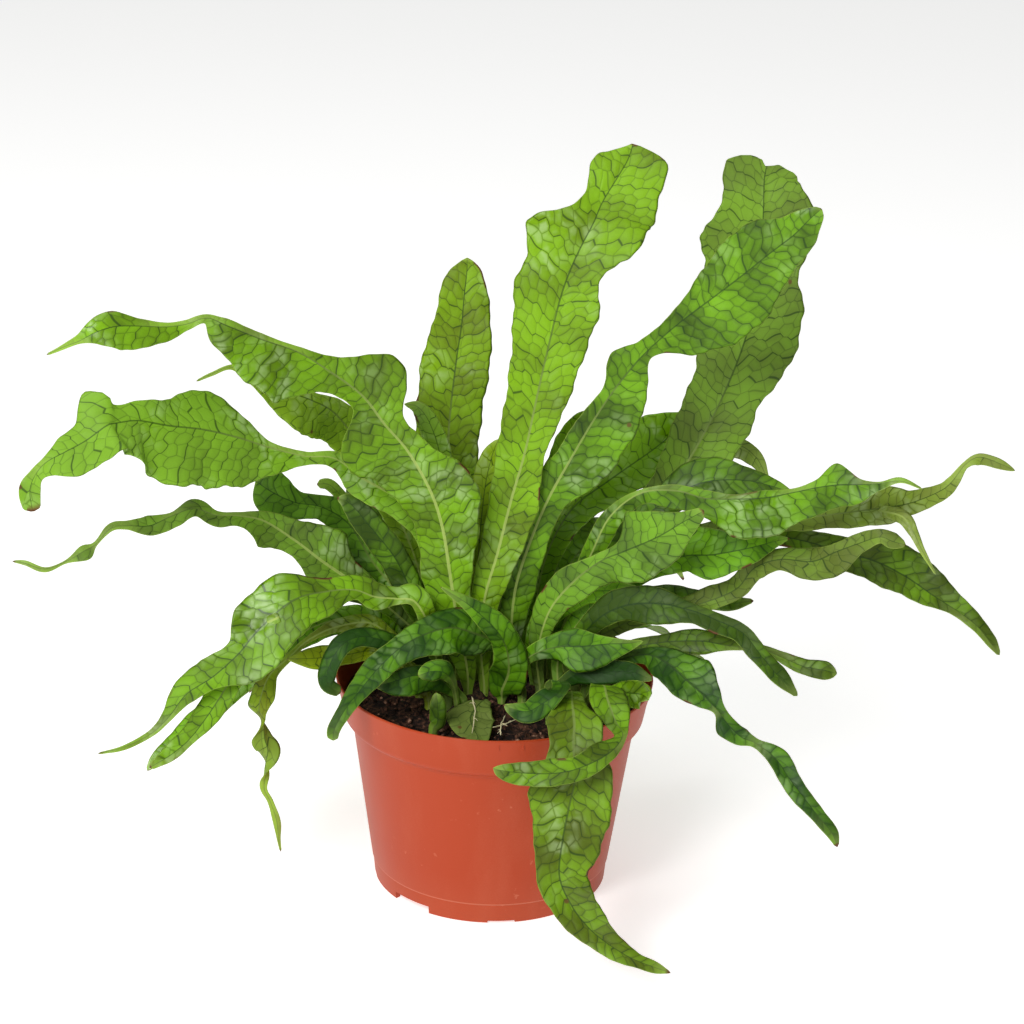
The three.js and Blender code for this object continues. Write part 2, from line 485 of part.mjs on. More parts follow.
// Crumbs on the open top of the peat.
function crumble(geometry) {
  const spots = geometry.getAttribute("position");
  for (let i = 0; i < spots.count; i++) {
    const [x, y, z] = [spots.getX(i), spots.getY(i), spots.getZ(i)];
    if (z > SOIL_RIM + 0.5) {
      spots.setZ(i, z + CRUMB_HEIGHT * Math.sin(0.9 * x + 0.4 * y) * Math.sin(0.7 * y - 0.5 * x));
    }
  }
  return geometry;
}

// Peat with a crumbly top, a trench for the creeping stem and a socket for every frond.
function soilSolid(roots) {
  const side = [
    [0, FLOOR_TOP + GAP],
    [FLOOR_RADIUS - GAP, FLOOR_TOP + GAP],
    [FOOT_RADIUS - GAP, FLOOR_TOP + FLOOR_BEND + 0.1],
    [BODY_RADIUS - WALL - GAP, SHOULDER_LOW + 0.1],
    [BAND_RADIUS - WALL - GAP, SHOULDER_HIGH + 0.2],
    [SOIL_RADIUS, SOIL_RIM],
  ];
  const top = SOIL_RINGS.map((radius) => [radius, SOIL_MIDDLE - SOIL_FALL * (radius / SOIL_RADIUS) ** 2]);
  const peat = solidOf(crumble(turned([...side, ...top, [0, SOIL_MIDDLE]], SOIL_SIDES)));
  const trenches = STEM_BRANCHES.map((line) => tube(longer(line), STEM_RADIUS + 1.5 * GAP, STEM_SIDES));
  const trenched = peat.subtract(joined(trenches));
  return biggest(roots.reduce((left, root) => left.subtract(socket(root)), trenched));
}

// Catmull-Rom line through the stations, with SUB points to an interval.
function fineLine(rows) {
  const full = rows.map((row) => [...row, 0].slice(0, 6));
  const beyond = (end, next) => end.map((v, i) => 2 * v - next[i]);
  const all = [beyond(full[0], full[1]), ...full, beyond(full.at(-1), full.at(-2))];
  const line = [];
  for (let i = 0; i + 3 < all.length; i++) {
    const [a, b, c, d] = all.slice(i, i + 4);
    for (let k = 0; k < SUB; k++) {
      const t = k / SUB;
      line.push(b.map((v, j) => {
        const bend = 2 * a[j] - 5 * v + 4 * c[j] - d[j];
        const twist = 3 * v - a[j] - 3 * c[j] + d[j];
        return 0.5 * (2 * v + (c[j] - a[j]) * t + bend * t * t + twist * t * t * t);
      }));
    }
  }
  line.push(full.at(-1));
  return line;
}

// Along, out of the blade and across it, at point i of the line.
function frame(line, i, frond) {
  const ahead = vector(line[Math.min(i + 1, line.length - 1)]);
  const along = ahead.sub(vector(line[Math.max(i - 1, 0)])).normalize();
  const level = (v) => v.addScaledVector(along, -v.dot(along)).normalize();
  let out = level(vector(FRONT));
  let across = along.clone().cross(out);
  if (frond.side) {
    across = level(vector(frond.side));
    out = across.clone().cross(along);
  }
  const station = i / SUB;
  const lean = (frond.lean ?? 0) * along.x * Math.min(1, Math.max(0, (station - 2) / 3));
  const turn = radians(line[i][5] - lean);
  return {
    out: out.clone().multiplyScalar(Math.cos(turn)).addScaledVector(across, Math.sin(turn)),
    across: across.clone().multiplyScalar(Math.cos(turn)).addScaledVector(out, -Math.sin(turn)),
  };
}

// One blade or tongue: the upper and the lower face split alike, closed along the edges and ends.
function bladeSolid(rows, frond) {
  const line = fineLine(rows);
  const count = frond.across ?? 3;
  const upper = [];
  const lower = [];
  for (let i = 0; i < line.length; i += SUB / (frond.steps ?? 1)) {
    const u = i / (line.length - 1);
    const { out, across } = frame(line, i, frond);
    for (let j = 0; j < count; j++) {
      const t = (2 * j) / (count - 1) - 1;
      const half = Math.max(THINNEST, line[i][t < 0 ? 3 : 4]);
      const wave = RUFFLE * Math.min(1, half / 10) * t * t;
      const rise = DISH * Math.abs(t) * half + wave * Math.sin(2 * Math.PI * WAVES * u + (t > 0 ? LAG : 0));
      const middle = vector(line[i]).addScaledVector(across, t * half).addScaledVector(out, rise);
      const keel = (1 - Math.abs(t)) ** 2 * KEEL;
      upper.push(middle.clone().addScaledVector(out, BLADE_HALF + keel * (1 - u) * 0.9));
      lower.push(middle.clone().addScaledVector(out, -BLADE_HALF - keel * (1.3 - u)));
    }
  }
  const corners = [...upper, ...lower].flatMap((corner) => corner.toArray());
  const geometry = new THREE.BufferGeometry();
  geometry.setAttribute("position", new THREE.Float32BufferAttribute(corners, 3));
  geometry.setIndex(bladeTriangles(upper.length / count, count).flat());
  return solidOf(geometry);
}

function bladeTriangles(stations, count) {
  const under = stations * count;
  const at = (i, j) => i * count + j;
  const triangles = [];
  const quad = (a, b, c, d) => triangles.push([a, b, c], [a, c, d]);
  for (let i = 0; i + 1 < stations; i++) {
    for (let j = 0; j + 1 < count; j++) {
      const [a, b, c, d] = [at(i, j), at(i, j + 1), at(i + 1, j + 1), at(i + 1, j)];
      quad(a, b, c, d);
      triangles.push([under + a, under + c, under + b], [under + a, under + d, under + c]);
    }
    quad(at(i, 0), at(i + 1, 0), under + at(i + 1, 0), under + at(i, 0));
    quad(at(i, count - 1), under + at(i, count - 1), under + at(i + 1, count - 1), at(i + 1, count - 1));
  }
  const last = at(stations - 1, 0);
  for (let j = 0; j + 1 < count; j++) {
    quad(j, under + j, under + j + 1, j + 1);
    quad(last + j, last + j + 1, under + last + j + 1, under + last + j);
  }
  return triangles;
}

function frondSolid(frond) {
  const [x, y] = frond.root;
  const stalk = [
    [x, y, FOOT, STALK_HALF, STALK_HALF],
    [x, y, frond.stalk ?? STALK_TOP, STALK_HALF + 0.3, STALK_HALF + 0.3],
  ];
  const blade = bladeSolid([...stalk, ...frond.rows], frond);
  return frond.fork ? blade.add(bladeSolid(frond.fork, { side: frond.side })) : blade;
}

// A frond that arches away from the viewer, from its bearing, root distance, reach, rise and sag.
function backFrond([bearing, distance, reach, rise, sag], k) {
  const outward = onRing(1, bearing);
  const rows = Array.from({ length: BACK_STATIONS }, (_, i) => {
    const s = (i + 1) / BACK_STATIONS;
    const radius = distance + reach * (0.1 * s + 0.9 * s ** 1.4);
    const sway = BACK_SWAY * Math.sin(4 * s + k) * s;
    const half = Math.max(1, BACK_HALF * Math.sin(Math.PI * (0.06 + 0.93 * s)) ** 0.8);
    return [
      radius * outward[0] - sway * outward[1],
      radius * outward[1] + sway * outward[0],
      STALK_TOP + 6 * s + rise * Math.sin(2 * s) - sag * s ** 3,
      half * (1 + 0.2 * Math.sin(11 * s + k)),
      half * (1 + 0.2 * Math.sin(10 * s + 2 * k)),
    ];
  });
  return { root: onRing(distance, bearing), side: [outward[1], -outward[0], 0], rows };
}

const fronds = [...FRONDS, ...BACK_FRONDS.map(backFrond)];
const roots = fronds.map((frond) => frond.root);
const group = new THREE.Group();
group.name = "potted_crocodile_fern";
group.add(meshOf(potSolid(), "pot", PAINT.pot));
group.add(meshOf(soilSolid(roots), "soil", PAINT.soil));
group.add(meshOf(rhizomeSolid(roots), "rhizome", PAINT.rhizome));
for (const [name, lines] of Object.entries(DRY_ROOTS)) {
  const strands = lines.map((line) => tube(line, ROOT_RADIUS, ROOT_SIDES));
  group.add(meshOf(joined(strands), name, PAINT.dryRoot));
}
fronds.forEach((frond, k) => {
  const name = `frond_${String(k + 1).padStart(2, "0")}`;
  group.add(meshOf(frondSolid(frond), name, PAINT.fronds[k % PAINT.fronds.length]));
});

export default group;
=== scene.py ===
"""A potted crocodile fern: a nursery pot of peat, a creeping stem and its leathery fronds."""

import math

import bmesh
import bpy
import numpy as np
from bpy.props import FloatProperty, FloatVectorProperty, IntProperty, PointerProperty
from mathutils import Matrix, Vector, noise


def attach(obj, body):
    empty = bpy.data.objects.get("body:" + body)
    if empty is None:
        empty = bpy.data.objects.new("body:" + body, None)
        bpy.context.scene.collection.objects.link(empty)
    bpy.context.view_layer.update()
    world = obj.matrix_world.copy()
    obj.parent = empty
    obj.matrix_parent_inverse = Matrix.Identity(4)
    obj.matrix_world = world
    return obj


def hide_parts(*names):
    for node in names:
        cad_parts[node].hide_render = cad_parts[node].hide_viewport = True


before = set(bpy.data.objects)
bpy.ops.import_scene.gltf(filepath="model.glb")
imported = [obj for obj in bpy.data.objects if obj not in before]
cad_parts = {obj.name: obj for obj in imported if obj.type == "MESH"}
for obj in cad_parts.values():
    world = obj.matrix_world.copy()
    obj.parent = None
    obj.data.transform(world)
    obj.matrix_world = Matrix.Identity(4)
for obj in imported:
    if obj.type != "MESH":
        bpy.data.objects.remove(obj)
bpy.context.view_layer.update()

bl_info = {
    "name": "Potted Crocodile Fern",
    "version": (1, 0, 0),
    "blender": (4, 5, 0),
    "location": "3D View > Sidebar > Fern",
    "description": "Dresses the frame of a potted fern with its pot, peat, stem and fronds",
    "category": "Add Mesh",
}

# Lengths and places are in millimetres, and bearings in degrees round the pot from its right side.
MM = 0.001

# The pot's wall as (radius, height), from the floor's underside out, up and back down the inside.
POT_PROFILE = (
    (10, 0), (10, 4.6), (56.2, 4.6), (56.2, 0.3), (56.5, 0), (58.9, 0), (59.2, 0.3), (60.15, 10.3),
    (60.35, 10.6), (60.6, 10.8), (60.7, 11.1), (71.3, 85.2), (71.5, 86.2), (71.9, 87), (73, 88),
    (74.3, 88.7), (75.2, 89.5), (75.8, 90.4), (76.05, 91.5), (77.4, 99), (79.8, 108.6), (79.95, 109.3),
    (79.7, 109.9), (79.2, 110), (78.8, 109.8), (78.6, 109.2), (76.2, 99), (74.7, 91.2), (74.2, 90.2),
    (72.2, 88.6), (70.3, 87.2), (70, 86), (59.2, 8.5), (58.8, 7), (58, 6.1), (57, 6), (10, 6),
)
SHARP_ANGLE = 25
# The foot's notches, each cut at four sides: the first one's bearing, its half-angle and its height.
FOOT_NOTCHES = ((-131, 11, 4), (-83.4, 6.6, 1.2))
FOOT_RADIUS = 59.2
NOTCH_RADIUS = 58.7
NOTCH_DEPTH = 9
BELOW_FOOT = 2
DRAIN_HOLES = 8
DRAIN_AT = 46
DRAIN_RADIUS = 4
DRAIN_MIDDLE = 5.3
DRAIN_DEPTH = 4
DRAIN_SIDES = 24
# The label tab's two upright ribs under the rim.
TAB_BEARING = -83.3
TAB_HALF = 4.3
TAB_RADIUS = 79.05
TAB_LOW = 105.2
TAB_HIGH = 109
TAB_DEPTH = 1.3
TAB_WIDTH = 0.7
TAB_ROUND = 0.15

# The peat's side as (radius, height), then its domed top, which falls from the middle to the rim.
SOIL_PROFILE = ((10, 6.35), (57.6, 6.35), (58.8, 8.6), (69.6, 86.1), (74.2, 91.2), (75, 95.6))
SOIL_RIM = 96
SOIL_MIDDLE = 101
SOIL_FALL = 4
SOIL_RADIUS = 75.1
SOIL_RINGS = 96
SOIL_SIDES = 300
PEAT_SEED = 11
# Loose crumbs: the radius that they reach, their sizes as shares of the usual one, and how common each is.
CRUMB_REACH = 73
CRUMB_SIZES = (0.35, 0.5, 0.8, 1.2)
CRUMB_SHARES = (0.4, 0.35, 0.2, 0.05)
STALK_ROOM = 3
FIBRE_SPREAD = 68
FIBRE_REACH = 66
FIBRE_ROOM = 6
FIBRE_RADIUS = 0.14
FIBRE_BOW = 0.8
FIBRE_LIFT = 0.5

# The creeping stem's branches, and the dry roots that lie on the peat.
STEM_RADIUS = 6
STEM_SIDES = 28
STEM_WOBBLE = 0.22
STEM_SCALES = 420
STEM_SEED = 5
STEM_BRANCHES = (
    ((-52, 0, 94), (-38, 4, 96.5), (-20, 3, 97.5), (0, -2, 97.5), (24, 3, 97), (42, -5, 96.5), (54, -9, 94)),
    ((-22, -32, 94), (-14, -18, 96.5), (-6, 2, 97.5), (-1, 22, 97), (4, 46, 96), (5, 54, 93)),
)
ROOT_RADIUS = 0.42
ROOT_SIDES = 8
ROOT_WOBBLE = 0.2
ROOT_KINK = 0.18
TWIG_RADIUS = 0.2
TWIG_SIDES = 5
TWIGS = 3
DRY_ROOTS = {
    "dry_root_1": (((-11, -24, 107.6), (-9, -38, 106), (-10, -58, 103.6)),),
    "dry_root_2": (
        ((0, -52, 104.2), (4, -46, 102.6), (12, -35, 101.1)),
        ((4, -53, 100.6), (4, -46, 102.6), (6, -32, 101.6)),
    ),
}

# The camera of the photo, and the lamps as name, place in metres, width in metres and watts.
CAMERA_LENS = 105.46875
CAMERA_SENSOR = 36
CAMERA_PLACE = (6.51247602, -1379.8816036, 731.64801045)
CAMERA_FORWARD = (0, 0.9324697, -0.36124821)
CAMERA_RIGHT = (0.99961602, 0.01000996, 0.02583814)
CAMERA_UP = (-0.02770936, 0.3611095, 0.93211165)
LAMPS = (
    ("key", (-0.85, -1.6, 1.45), 1.0, 38),
    ("fill", (1.4, -1.6, 0.9), 1.2, 2),
    ("top", (-0.2, 0.3, 1.9), 1.2, 9),
)
LAMPS_AIM = (0, 0, 0.2)
SKY_LIGHT = 0.22
FLOOR_SIZE = 6
FLOOR_DROP = 0.0002
FLOOR_GLOW = 0.6

# The leaf's net of veins: the pitch of its rows and cells, the slope and bend of the rows, how uneven it is,
# and how far the pattern moves on from one frond to the next.
VEIN_PITCH = 5.4
CELL = 5.4
VEIN_SLOPE = 0.6
VEIN_BEND = 90
UNEVEN = 0.3
SHIFT = 60

# The form that all blades share: the stalk, the steps between stations, the dish and waves, and the mesh.
STALK_FOOT = 88.3
STALK_TOP = 105
STALK_HALF = 2
STALK_SWELL = 0.3
STEPS = 24
DISH = 0.1
RUFFLE = 1.5
WAVES = 3
LAG = 1.9
FRILL = 0.7
QUILT = 0.36
THINNEST = 0.6
FULL_WAVE = 10
TIP_ROUND = 6.0
GRAIN = 1.2
FEWEST_ROWS = 12
FEWEST_COLUMNS = 4
MOST_COLUMNS = 24
SEED_STEP = 1.7
FRONT = (0, -0.93, 0.36)
LEFT = (-1, 0, 0)
LEFT_UP = (-1, 0, 1)

# Stations of the fronds: x, y, z of the midrib, the half-width on each side, and a turn in degrees if any.
# The root is the foot of the stalk, and a stalk's own height is given where it isn't the usual one. A lean
# turns the blade about its line where it runs to the side, and a side gives its direction across. A fork is
# a second blade, a tongue that grows out of the first.
FRONDS = (
    {"root": (-5, -6), "rows": (
        (-7, -6, 125, 4, 5), (-6, -6, 152, 7, 8), (0, -4, 177, 9, 11), (6, -1, 204, 11, 14),
        (12, 1, 228, 14, 10), (17, 5, 255, 15, 15), (22, 10, 280, 18, 18), (27, 14, 303, 23, 20),
        (32, 18, 318, 23, 15), (37, 21, 329, 29, 21), (42, 23, 339, 16, 25), (46, 28, 348, 10, 27),
        (54, 33, 361, 15, 23), (58, 36, 368, 10, 20), (60, 38, 375, 2, 16),
    )},
    {"root": (-20, 14), "rows": (
        (-20, 14, 143, 4, 4), (-23, 16, 186, 11, 11), (-26, 22, 221, 16, 15), (-25, 27, 245, 17, 16),
        (-23, 32, 265, 17, 17), (-21, 35, 281, 14, 15), (-20, 39, 296, 12, 12), (-19, 42, 307, 9, 8),
        (-19, 43, 314, 1.5, 1.5),
    )},
    {"root": (-13, -12), "rows": (
        (-14, -12, 119, 6, 5), (-19, -13, 144, 11, 7), (-23, -14, 168, 14, 11),
        (-27, -18, 194, 13, 18), (-33, -25, 216, 16, 22), (-44, -32, 239, 22, 10),
        (-55, -39, 255, 27, 10), (-65, -46, 271, 8, 24), (-80, -55, 286, 11, 8),
        (-94, -64, 298, 25, 2.5), (-110, -74, 307, 21, 2.5), (-124, -84, 316, 12, 3),
        (-133, -91, 322, 3.5, 2.5, -40), (-142, -95, 320, 3, 2, -20), (-151, -100, 320, 7, 2),
        (-162, -106, 322, 10, 3.5), (-172, -111, 323, 11, 7), (-180, -114, 321, 6, 6),
        (-187, -114, 317, 1.5, 3), (-196, -114, 313, 1, 1), (-202, -114, 310, 0.5, 0.5),
    )},
    {"root": (-22, 3), "lean": 20, "rows": (
        (-25, 0, 127, 3.5, 3.5), (-27, -5, 162, 6, 6), (-35, -11, 190, 7, 7), (-48, -17, 208, 9, 8),
        (-65, -24, 221, 10, 9), (-79, -34, 235, 5, 3.5), (-93, -40, 238, 5, 2.5),
        (-109, -48, 245, 15, 3), (-122, -56, 252, 24, 11), (-138, -65, 259, 28, 19),
        (-153, -75, 264, 28, 13), (-166, -83, 269, 24, 9), (-175, -90, 270, 17, 9),
        (-179, -94, 270, 15, 18), (-188, -98, 264, 15, 10), (-197, -103, 260, 14, 7),
        (-205, -106, 256, 8, 3), (-210, -106, 250, 4, 3), (-213, -106, 242, 5, 5), (-212, -106, 232, 4, 4),
    )},
    {"root": (-30, 8), "lean": 20, "rows": (
        (-37, 5, 125, 3.5, 3.5), (-58, -3, 149, 6, 6), (-75, -12, 165, 11, 10),
        (-86, -17, 175, 11, 18), (-99, -21, 187, 7, 11), (-113, -29, 200, 13, 5),
        (-125, -36, 205, 6, 2), (-135, -41, 207, 6, 2.5), (-145, -46, 212, 4, 5),
        (-155, -51, 210, 6, 2), (-165, -57, 207, 5, 5), (-175, -63, 209, 2, 2.5),
        (-182, -67, 209, 1.5, 2.5), (-189, -70, 202, 1, 1.5), (-194, -74, 200, 5, 3),
        (-202, -78, 196, 1, 1), (-211, -83, 194, 1.5, 1), (-220, -84, 197, 1, 1.5),
        (-226, -84, 198, 0.5, 0.5),
    )},
    {"root": (-29, -11), "lean": 20, "rows": (
        (-29, -14, 122, 3, 3), (-33, -21, 144, 4, 5), (-40, -27, 159, 2.5, 8), (-49, -29, 161, 3, 6),
        (-59, -32, 163, 7, 7), (-69, -36, 168, 5, 8), (-82, -41, 169, 12, 7), (-98, -49, 167, 16, 15),
        (-113, -56, 155, 18, 15), (-123, -62, 144, 18, 7), (-135, -68, 134, 7, 10),
        (-147, -73, 127, 5, 8), (-155, -78, 117, 2, 4), (-163, -82, 110, 1.5, 2),
        (-175, -89, 106, 1.5, 1), (-187, -93, 104, 0.5, 0.5),
    ), "fork": (
        (-104, -55, 161, 2.5, 2.5), (-113, -53, 154, 3.5, 3.5), (-120, -57, 141, 6, 6),
        (-128, -62, 128, 6, 9), (-136, -68, 116, 6, 7), (-145, -72, 104, 3, 6), (-154, -77, 97, 3, 5),
        (-164, -82, 92, 1.5, 1.5),
    )},
    {"root": (-37, 2), "lean": 20, "rows": (
        (-44, -1, 122, 4, 4), (-62, -12, 141, 7, 7), (-82, -17, 143, 8, 6), (-102, -22, 134, 8, 7),
        (-118, -28, 122, 7, 8), (-134, -37, 105, 4, 8), (-146, -49, 98, 4, 7), (-156, -55, 90, 4, 6),
        (-164, -58, 85, 3, 3), (-168, -61, 80, 1, 1),
    )},
    {"root": (-38, -7), "rows": (
        (-45, -10, 123, 3, 3), (-60, -17, 142, 4, 4), (-77, -25, 144, 3, 4), (-91, -33, 140, 1.5, 2),
        (-101, -41, 133, 2, 2), (-109, -47, 127, 4, 4), (-113, -50, 117, 8, 6, 20),
        (-114, -51, 109, 5, 8, 40), (-113, -50, 103, 5, 5, 90), (-112, -50, 94, 7, 5, 150),
        (-110, -50, 87, 5, 6, 180), (-111, -50, 77, 3.5, 3.5, 265), (-112, -50, 67, 1.5, 2, 350),
        (-109, -49, 59, 1.5, 1.5, 360), (-106, -48, 48, 2, 2, 360), (-105, -48, 38, 1, 1, 360),
        (-104, -48, 31, 0.5, 0.5, 360),
    )},
    {"root": (-33, -20), "lean": 20, "rows": (
        (-43, -22, 116, 2.5, 2.5), (-58, -26, 131, 4, 3.5), (-74, -33, 132, 5, 5),
        (-88, -40, 133, 6, 6), (-101, -46, 135, 0.5, 0.5),
    )},
    {"root": (-23, -20), "lean": 20, "rows": (
        (-31, -23, 121, 3, 3), (-40, -27, 131, 4, 4), (-49, -32, 138, 5, 5), (-64, -37, 144, 5, 5),
        (-74, -43, 142, 5, 5), (-80, -47, 133, 5, 5), (-81, -49, 124, 4, 4), (-75, -47, 118, 3, 2.5),
    )},
    {"root": (2, 4), "lean": 20, "rows": (
        (4, -5, 115, 3, 3), (1, -13, 131, 5, 7), (-9, -21, 140, 11, 12), (-22, -28, 146, 14, 10),
        (-36, -34, 144, 12, 8), (-47, -40, 139, 8, 6), (-57, -47, 131, 7, 7), (-65, -55, 123, 5, 6),
        (-71, -62, 117, 4, 4), (-76, -68, 109, 3, 3.5), (-77, -69, 103, 2.5, 2.5),
    )},
    {"root": (-15, -26), "rows": (
        (-19, -28, 111, 3, 3), (-28, -32, 121, 7, 5), (-39, -37, 124, 10, 5), (-50, -41, 122, 7, 4),
        (-59, -44, 121, 0.5, 0.5),
    ), "fork": (
        (-18, -28, 104, 1.5, 1.5), (-19, -31, 113, 1.5, 1.5), (-21, -38, 123, 2.5, 2.5),
        (-25, -43, 129, 4, 6), (-31, -45, 130, 5, 5), (-37, -46, 128, 2, 2),
    )},
    {"root": (-29, -52), "stalk": 102, "rows": (
        (-27, -52, 106, 4, 4), (-27, -51, 115, 4, 4), (-28, -50, 121, 1.5, 1.5),
    )},
    {"root": (4, -14), "stalk": 102, "rows": (
        (4, -16, 108, 7, 9), (7, -19, 119, 10, 10), (6, -23, 132, 7, 9), (2, -27, 143, 6, 8),
        (-6, -30, 153, 5, 7), (-15, -33, 162, 3, 3.5), (-23, -35, 168, 1.5, 1.5),
        (-27, -36, 171, 0.5, 0.5),
    )},
    {"root": (27, 21), "rows": (
        (27, 21, 114, 3.5, 3.5), (36, 22, 136, 5, 5), (51, 23, 164, 7, 7), (71, 27, 184, 9, 9),
        (86, 31, 201, 11, 13), (96, 35, 217, 15, 17), (104, 39, 232, 17, 20), (112, 43, 250, 18, 19),
        (119, 48, 269, 22, 25), (124, 53, 289, 24, 25), (126, 57, 309, 28, 20), (127, 62, 326, 30, 27),
        (127, 64, 339, 21, 25), (127, 68, 351, 21, 17), (128, 68, 358, 19, 15), (129, 68, 362, 14, 8),
    )},
    {"root": (11, 1), "rows": (
        (8, 0, 128, 5, 5), (9, 0, 155, 7, 10), (15, 1, 178, 10, 9), (24, 2, 203, 12, 9),
        (34, 2, 224, 8, 19), (44, 1, 244, 7, 21), (53, 0, 260, 5, 19), (62, -3, 274, 12, 11),
        (70, -6, 285, 6, 4), (84, -12, 301, 6, 18), (99, -16, 315, 12, 24), (112, -21, 328, 17, 22),
        (123, -24, 339, 18, 15), (134, -28, 350, 11, 11), (141, -31, 359, 6, 7),
        (146, -31, 364, 2, 3),
    )},
    {"root": (18, 26), "rows": (
        (19, 27, 128, 4, 4), (24, 28, 161, 7, 7), (36, 30, 187, 10, 10), (55, 35, 202, 15, 12),
        (76, 42, 216, 19, 13), (90, 48, 226, 10, 9), (102, 53, 232, 1, 1),
    )},
    {"root": (-2, 20), "rows": (
        (2, 21, 130, 4, 4), (11, 23, 162, 7, 7), (23, 24, 189, 9, 9), (36, 28, 212, 13, 12),
        (44, 33, 229, 12, 8), (50, 35, 240, 2, 2),
    )},
    {"root": (-8, 12), "rows": (
        (-9, 8, 124, 3.5, 3.5), (-10, 9, 157, 5, 5), (-9, 10, 183, 6, 7), (-7, 11, 207, 7, 7),
        (-4, 13, 222, 5, 6), (-1, 14, 230, 1, 1.5),
    )},
    {"root": (23, -9), "rows": (
        (21, -11, 125, 4, 4), (26, -15, 150, 8, 6), (37, -19, 168, 9, 10), (50, -22, 181, 4, 12),
        (61, -26, 188, 6, 16), (70, -30, 194, 17, 17), (79, -35, 201, 14, 14), (88, -39, 209, 6, 9),
        (98, -43, 217, 2, 2.5),
    )},
    {"root": (20, 2), "rows": (
        (18, 1, 120, 3, 3), (22, -3, 137, 6, 6), (31, -8, 150, 7, 6), (44, -12, 160, 7, 6),
        (57, -15, 163, 5, 7), (69, -19, 167, 0.5, 0.5),
    )},
    {"root": (30, 2), "lean": 20, "rows": (
        (30, 0, 123, 3.5, 3.5), (38, -2, 152, 4, 4), (47, -5, 180, 5, 6), (55, -9, 200, 4, 7),
        (69, -14, 214, 2, 6), (86, -17, 217, 3, 10), (100, -21, 215, 4, 9), (114, -26, 217, 2.5, 19),
        (128, -31, 220, 4, 21), (141, -36, 225, 2, 17), (152, -39, 229, 4, 14),
        (161, -43, 232, 10, 12), (171, -47, 234, 3, 9), (180, -50, 236, 1, 4), (189, -54, 239, 2, 1),
        (199, -58, 237, 0.5, 0.5),
    )},
    {"root": (36, 10), "lean": 20, "rows": (
        (39, 10, 125, 3.5, 3.5), (57, 8, 154, 5, 5), (90, 5, 180, 6, 6), (129, -3, 196, 7, 7),
        (157, -12, 204, 8, 7), (176, -19, 210, 8, 8), (189, -26, 215, 10, 8), (199, -34, 221, 6, 6),
        (210, -42, 230, 3.5, 5), (215, -46, 237, 2.5, 3.5), (220, -48, 246, 1.5, 2),
        (226, -51, 251, 2, 4), (235, -57, 250, 2.5, 3), (242, -57, 247, 0.5, 0.5),
    ), "fork": (
        (184, -20, 211, 2.5, 2.5), (193, -41, 216, 3.5, 3.5), (198, -48, 211, 2.5, 2.5),
        (202, -53, 204, 1.5, 1.5), (209, -56, 193, 0.5, 0.5),
    )},
    {"root": (32, -8), "lean": 20, "rows": (
        (33, -8, 127, 4, 4), (51, -8, 155, 7, 6), (73, -10, 171, 7, 5), (91, -13, 181, 16, 8),
        (105, -17, 184, 13, 13), (120, -21, 189, 8, 9), (134, -18, 192, 4, 4),
        (142, -20, 195, 0.5, 0.5),
    )},
    {"root": (40, -1), "lean": 20, "rows": (
        (40, -2, 122, 3, 3), (62, -3, 139, 4, 4), (84, -6, 148, 4, 4), (103, -11, 156, 7, 5),
        (118, -14, 165, 6, 5), (126, -18, 178, 5, 6), (138, -23, 185, 6, 6), (153, -27, 186, 7, 10),
        (164, -33, 194, 4, 11), (175, -38, 201, 5, 5), (183, -43, 206, 4, 3), (189, -46, 205, 5, 4),
        (195, -47, 204, 1.5, 1.5),
    )},
    {"root": (44, 14), "lean": 20, "rows": (
        (45, 15, 128, 3, 3), (59, 16, 158, 5, 5), (86, 17, 175, 5, 5), (118, 13, 184, 6, 6),
        (147, 7, 184, 6, 5), (169, 0, 181, 8, 8), (187, -8, 179, 14, 11), (201, -14, 174, 14, 11),
        (213, -21, 168, 11, 7), (225, -26, 162, 7, 3), (235, -31, 156, 5, 3),
        (242, -33, 148, 4, 2), (247, -33, 142, 1, 1),
    )},
    {"root": (41, -11), "lean": 20, "rows": (
        (37, -14, 124, 3.5, 3.5), (47, -18, 145, 6, 5), (61, -22, 157, 9, 7), (78, -28, 162, 8, 11),
        (95, -33, 161, 4, 7), (108, -38, 158, 4, 7), (120, -43, 154, 4, 6), (129, -49, 145, 4, 5),
        (138, -54, 136, 5, 4), (147, -57, 128, 1, 1.5),
    )},
    {"root": (40, 24), "rows": (
        (40, 24, 119, 2.5, 2.5), (59, 21, 140, 5, 5), (85, 17, 147, 6, 4), (102, 14, 147, 5, 4),
        (117, 13, 146, 4, 4), (129, 10, 149, 1, 1),
    )},
    {"root": (49, -4), "lean": 20, "rows": (
        (47, -6, 115, 3, 3), (62, -10, 128, 4, 4), (82, -16, 136, 4, 5), (101, -22, 140, 6, 7),
        (115, -27, 140, 4, 2.5), (130, -32, 141, 2.5, 1.5), (141, -35, 138, 3, 3),
        (151, -38, 135, 4, 4), (161, -42, 135, 5, 5), (167, -43, 134, 1.5, 2),
    )},
    {"root": (45, -20), "lean": 20, "rows": (
        (47, -21, 116, 2.5, 2.5), (59, -23, 128, 3, 3), (74, -29, 135, 4, 5), (85, -37, 134, 9, 10),
        (95, -45, 128, 14, 10), (103, -51, 123, 9, 7), (109, -56, 118, 4, 2),
        (114, -60, 113, 4, 7), (120, -65, 109, 5, 5), (127, -70, 108, 2.5, 2.5),
        (136, -77, 104, 6, 4), (143, -83, 96, 5, 5), (150, -89, 89, 4, 5), (157, -95, 82, 4, 3.5),
        (163, -99, 76, 3.5, 3), (166, -102, 70, 1, 1),
    )},
    {"root": (14, -12), "rows": (
        (12, -16, 115, 2.5, 2.5), (17, -20, 128, 4, 3), (30, -25, 136, 7, 7), (42, -28, 138, 9, 13),
        (54, -31, 141, 4, 10), (64, -34, 143, 2, 5), (72, -40, 147, 0.5, 0.5),
    )},
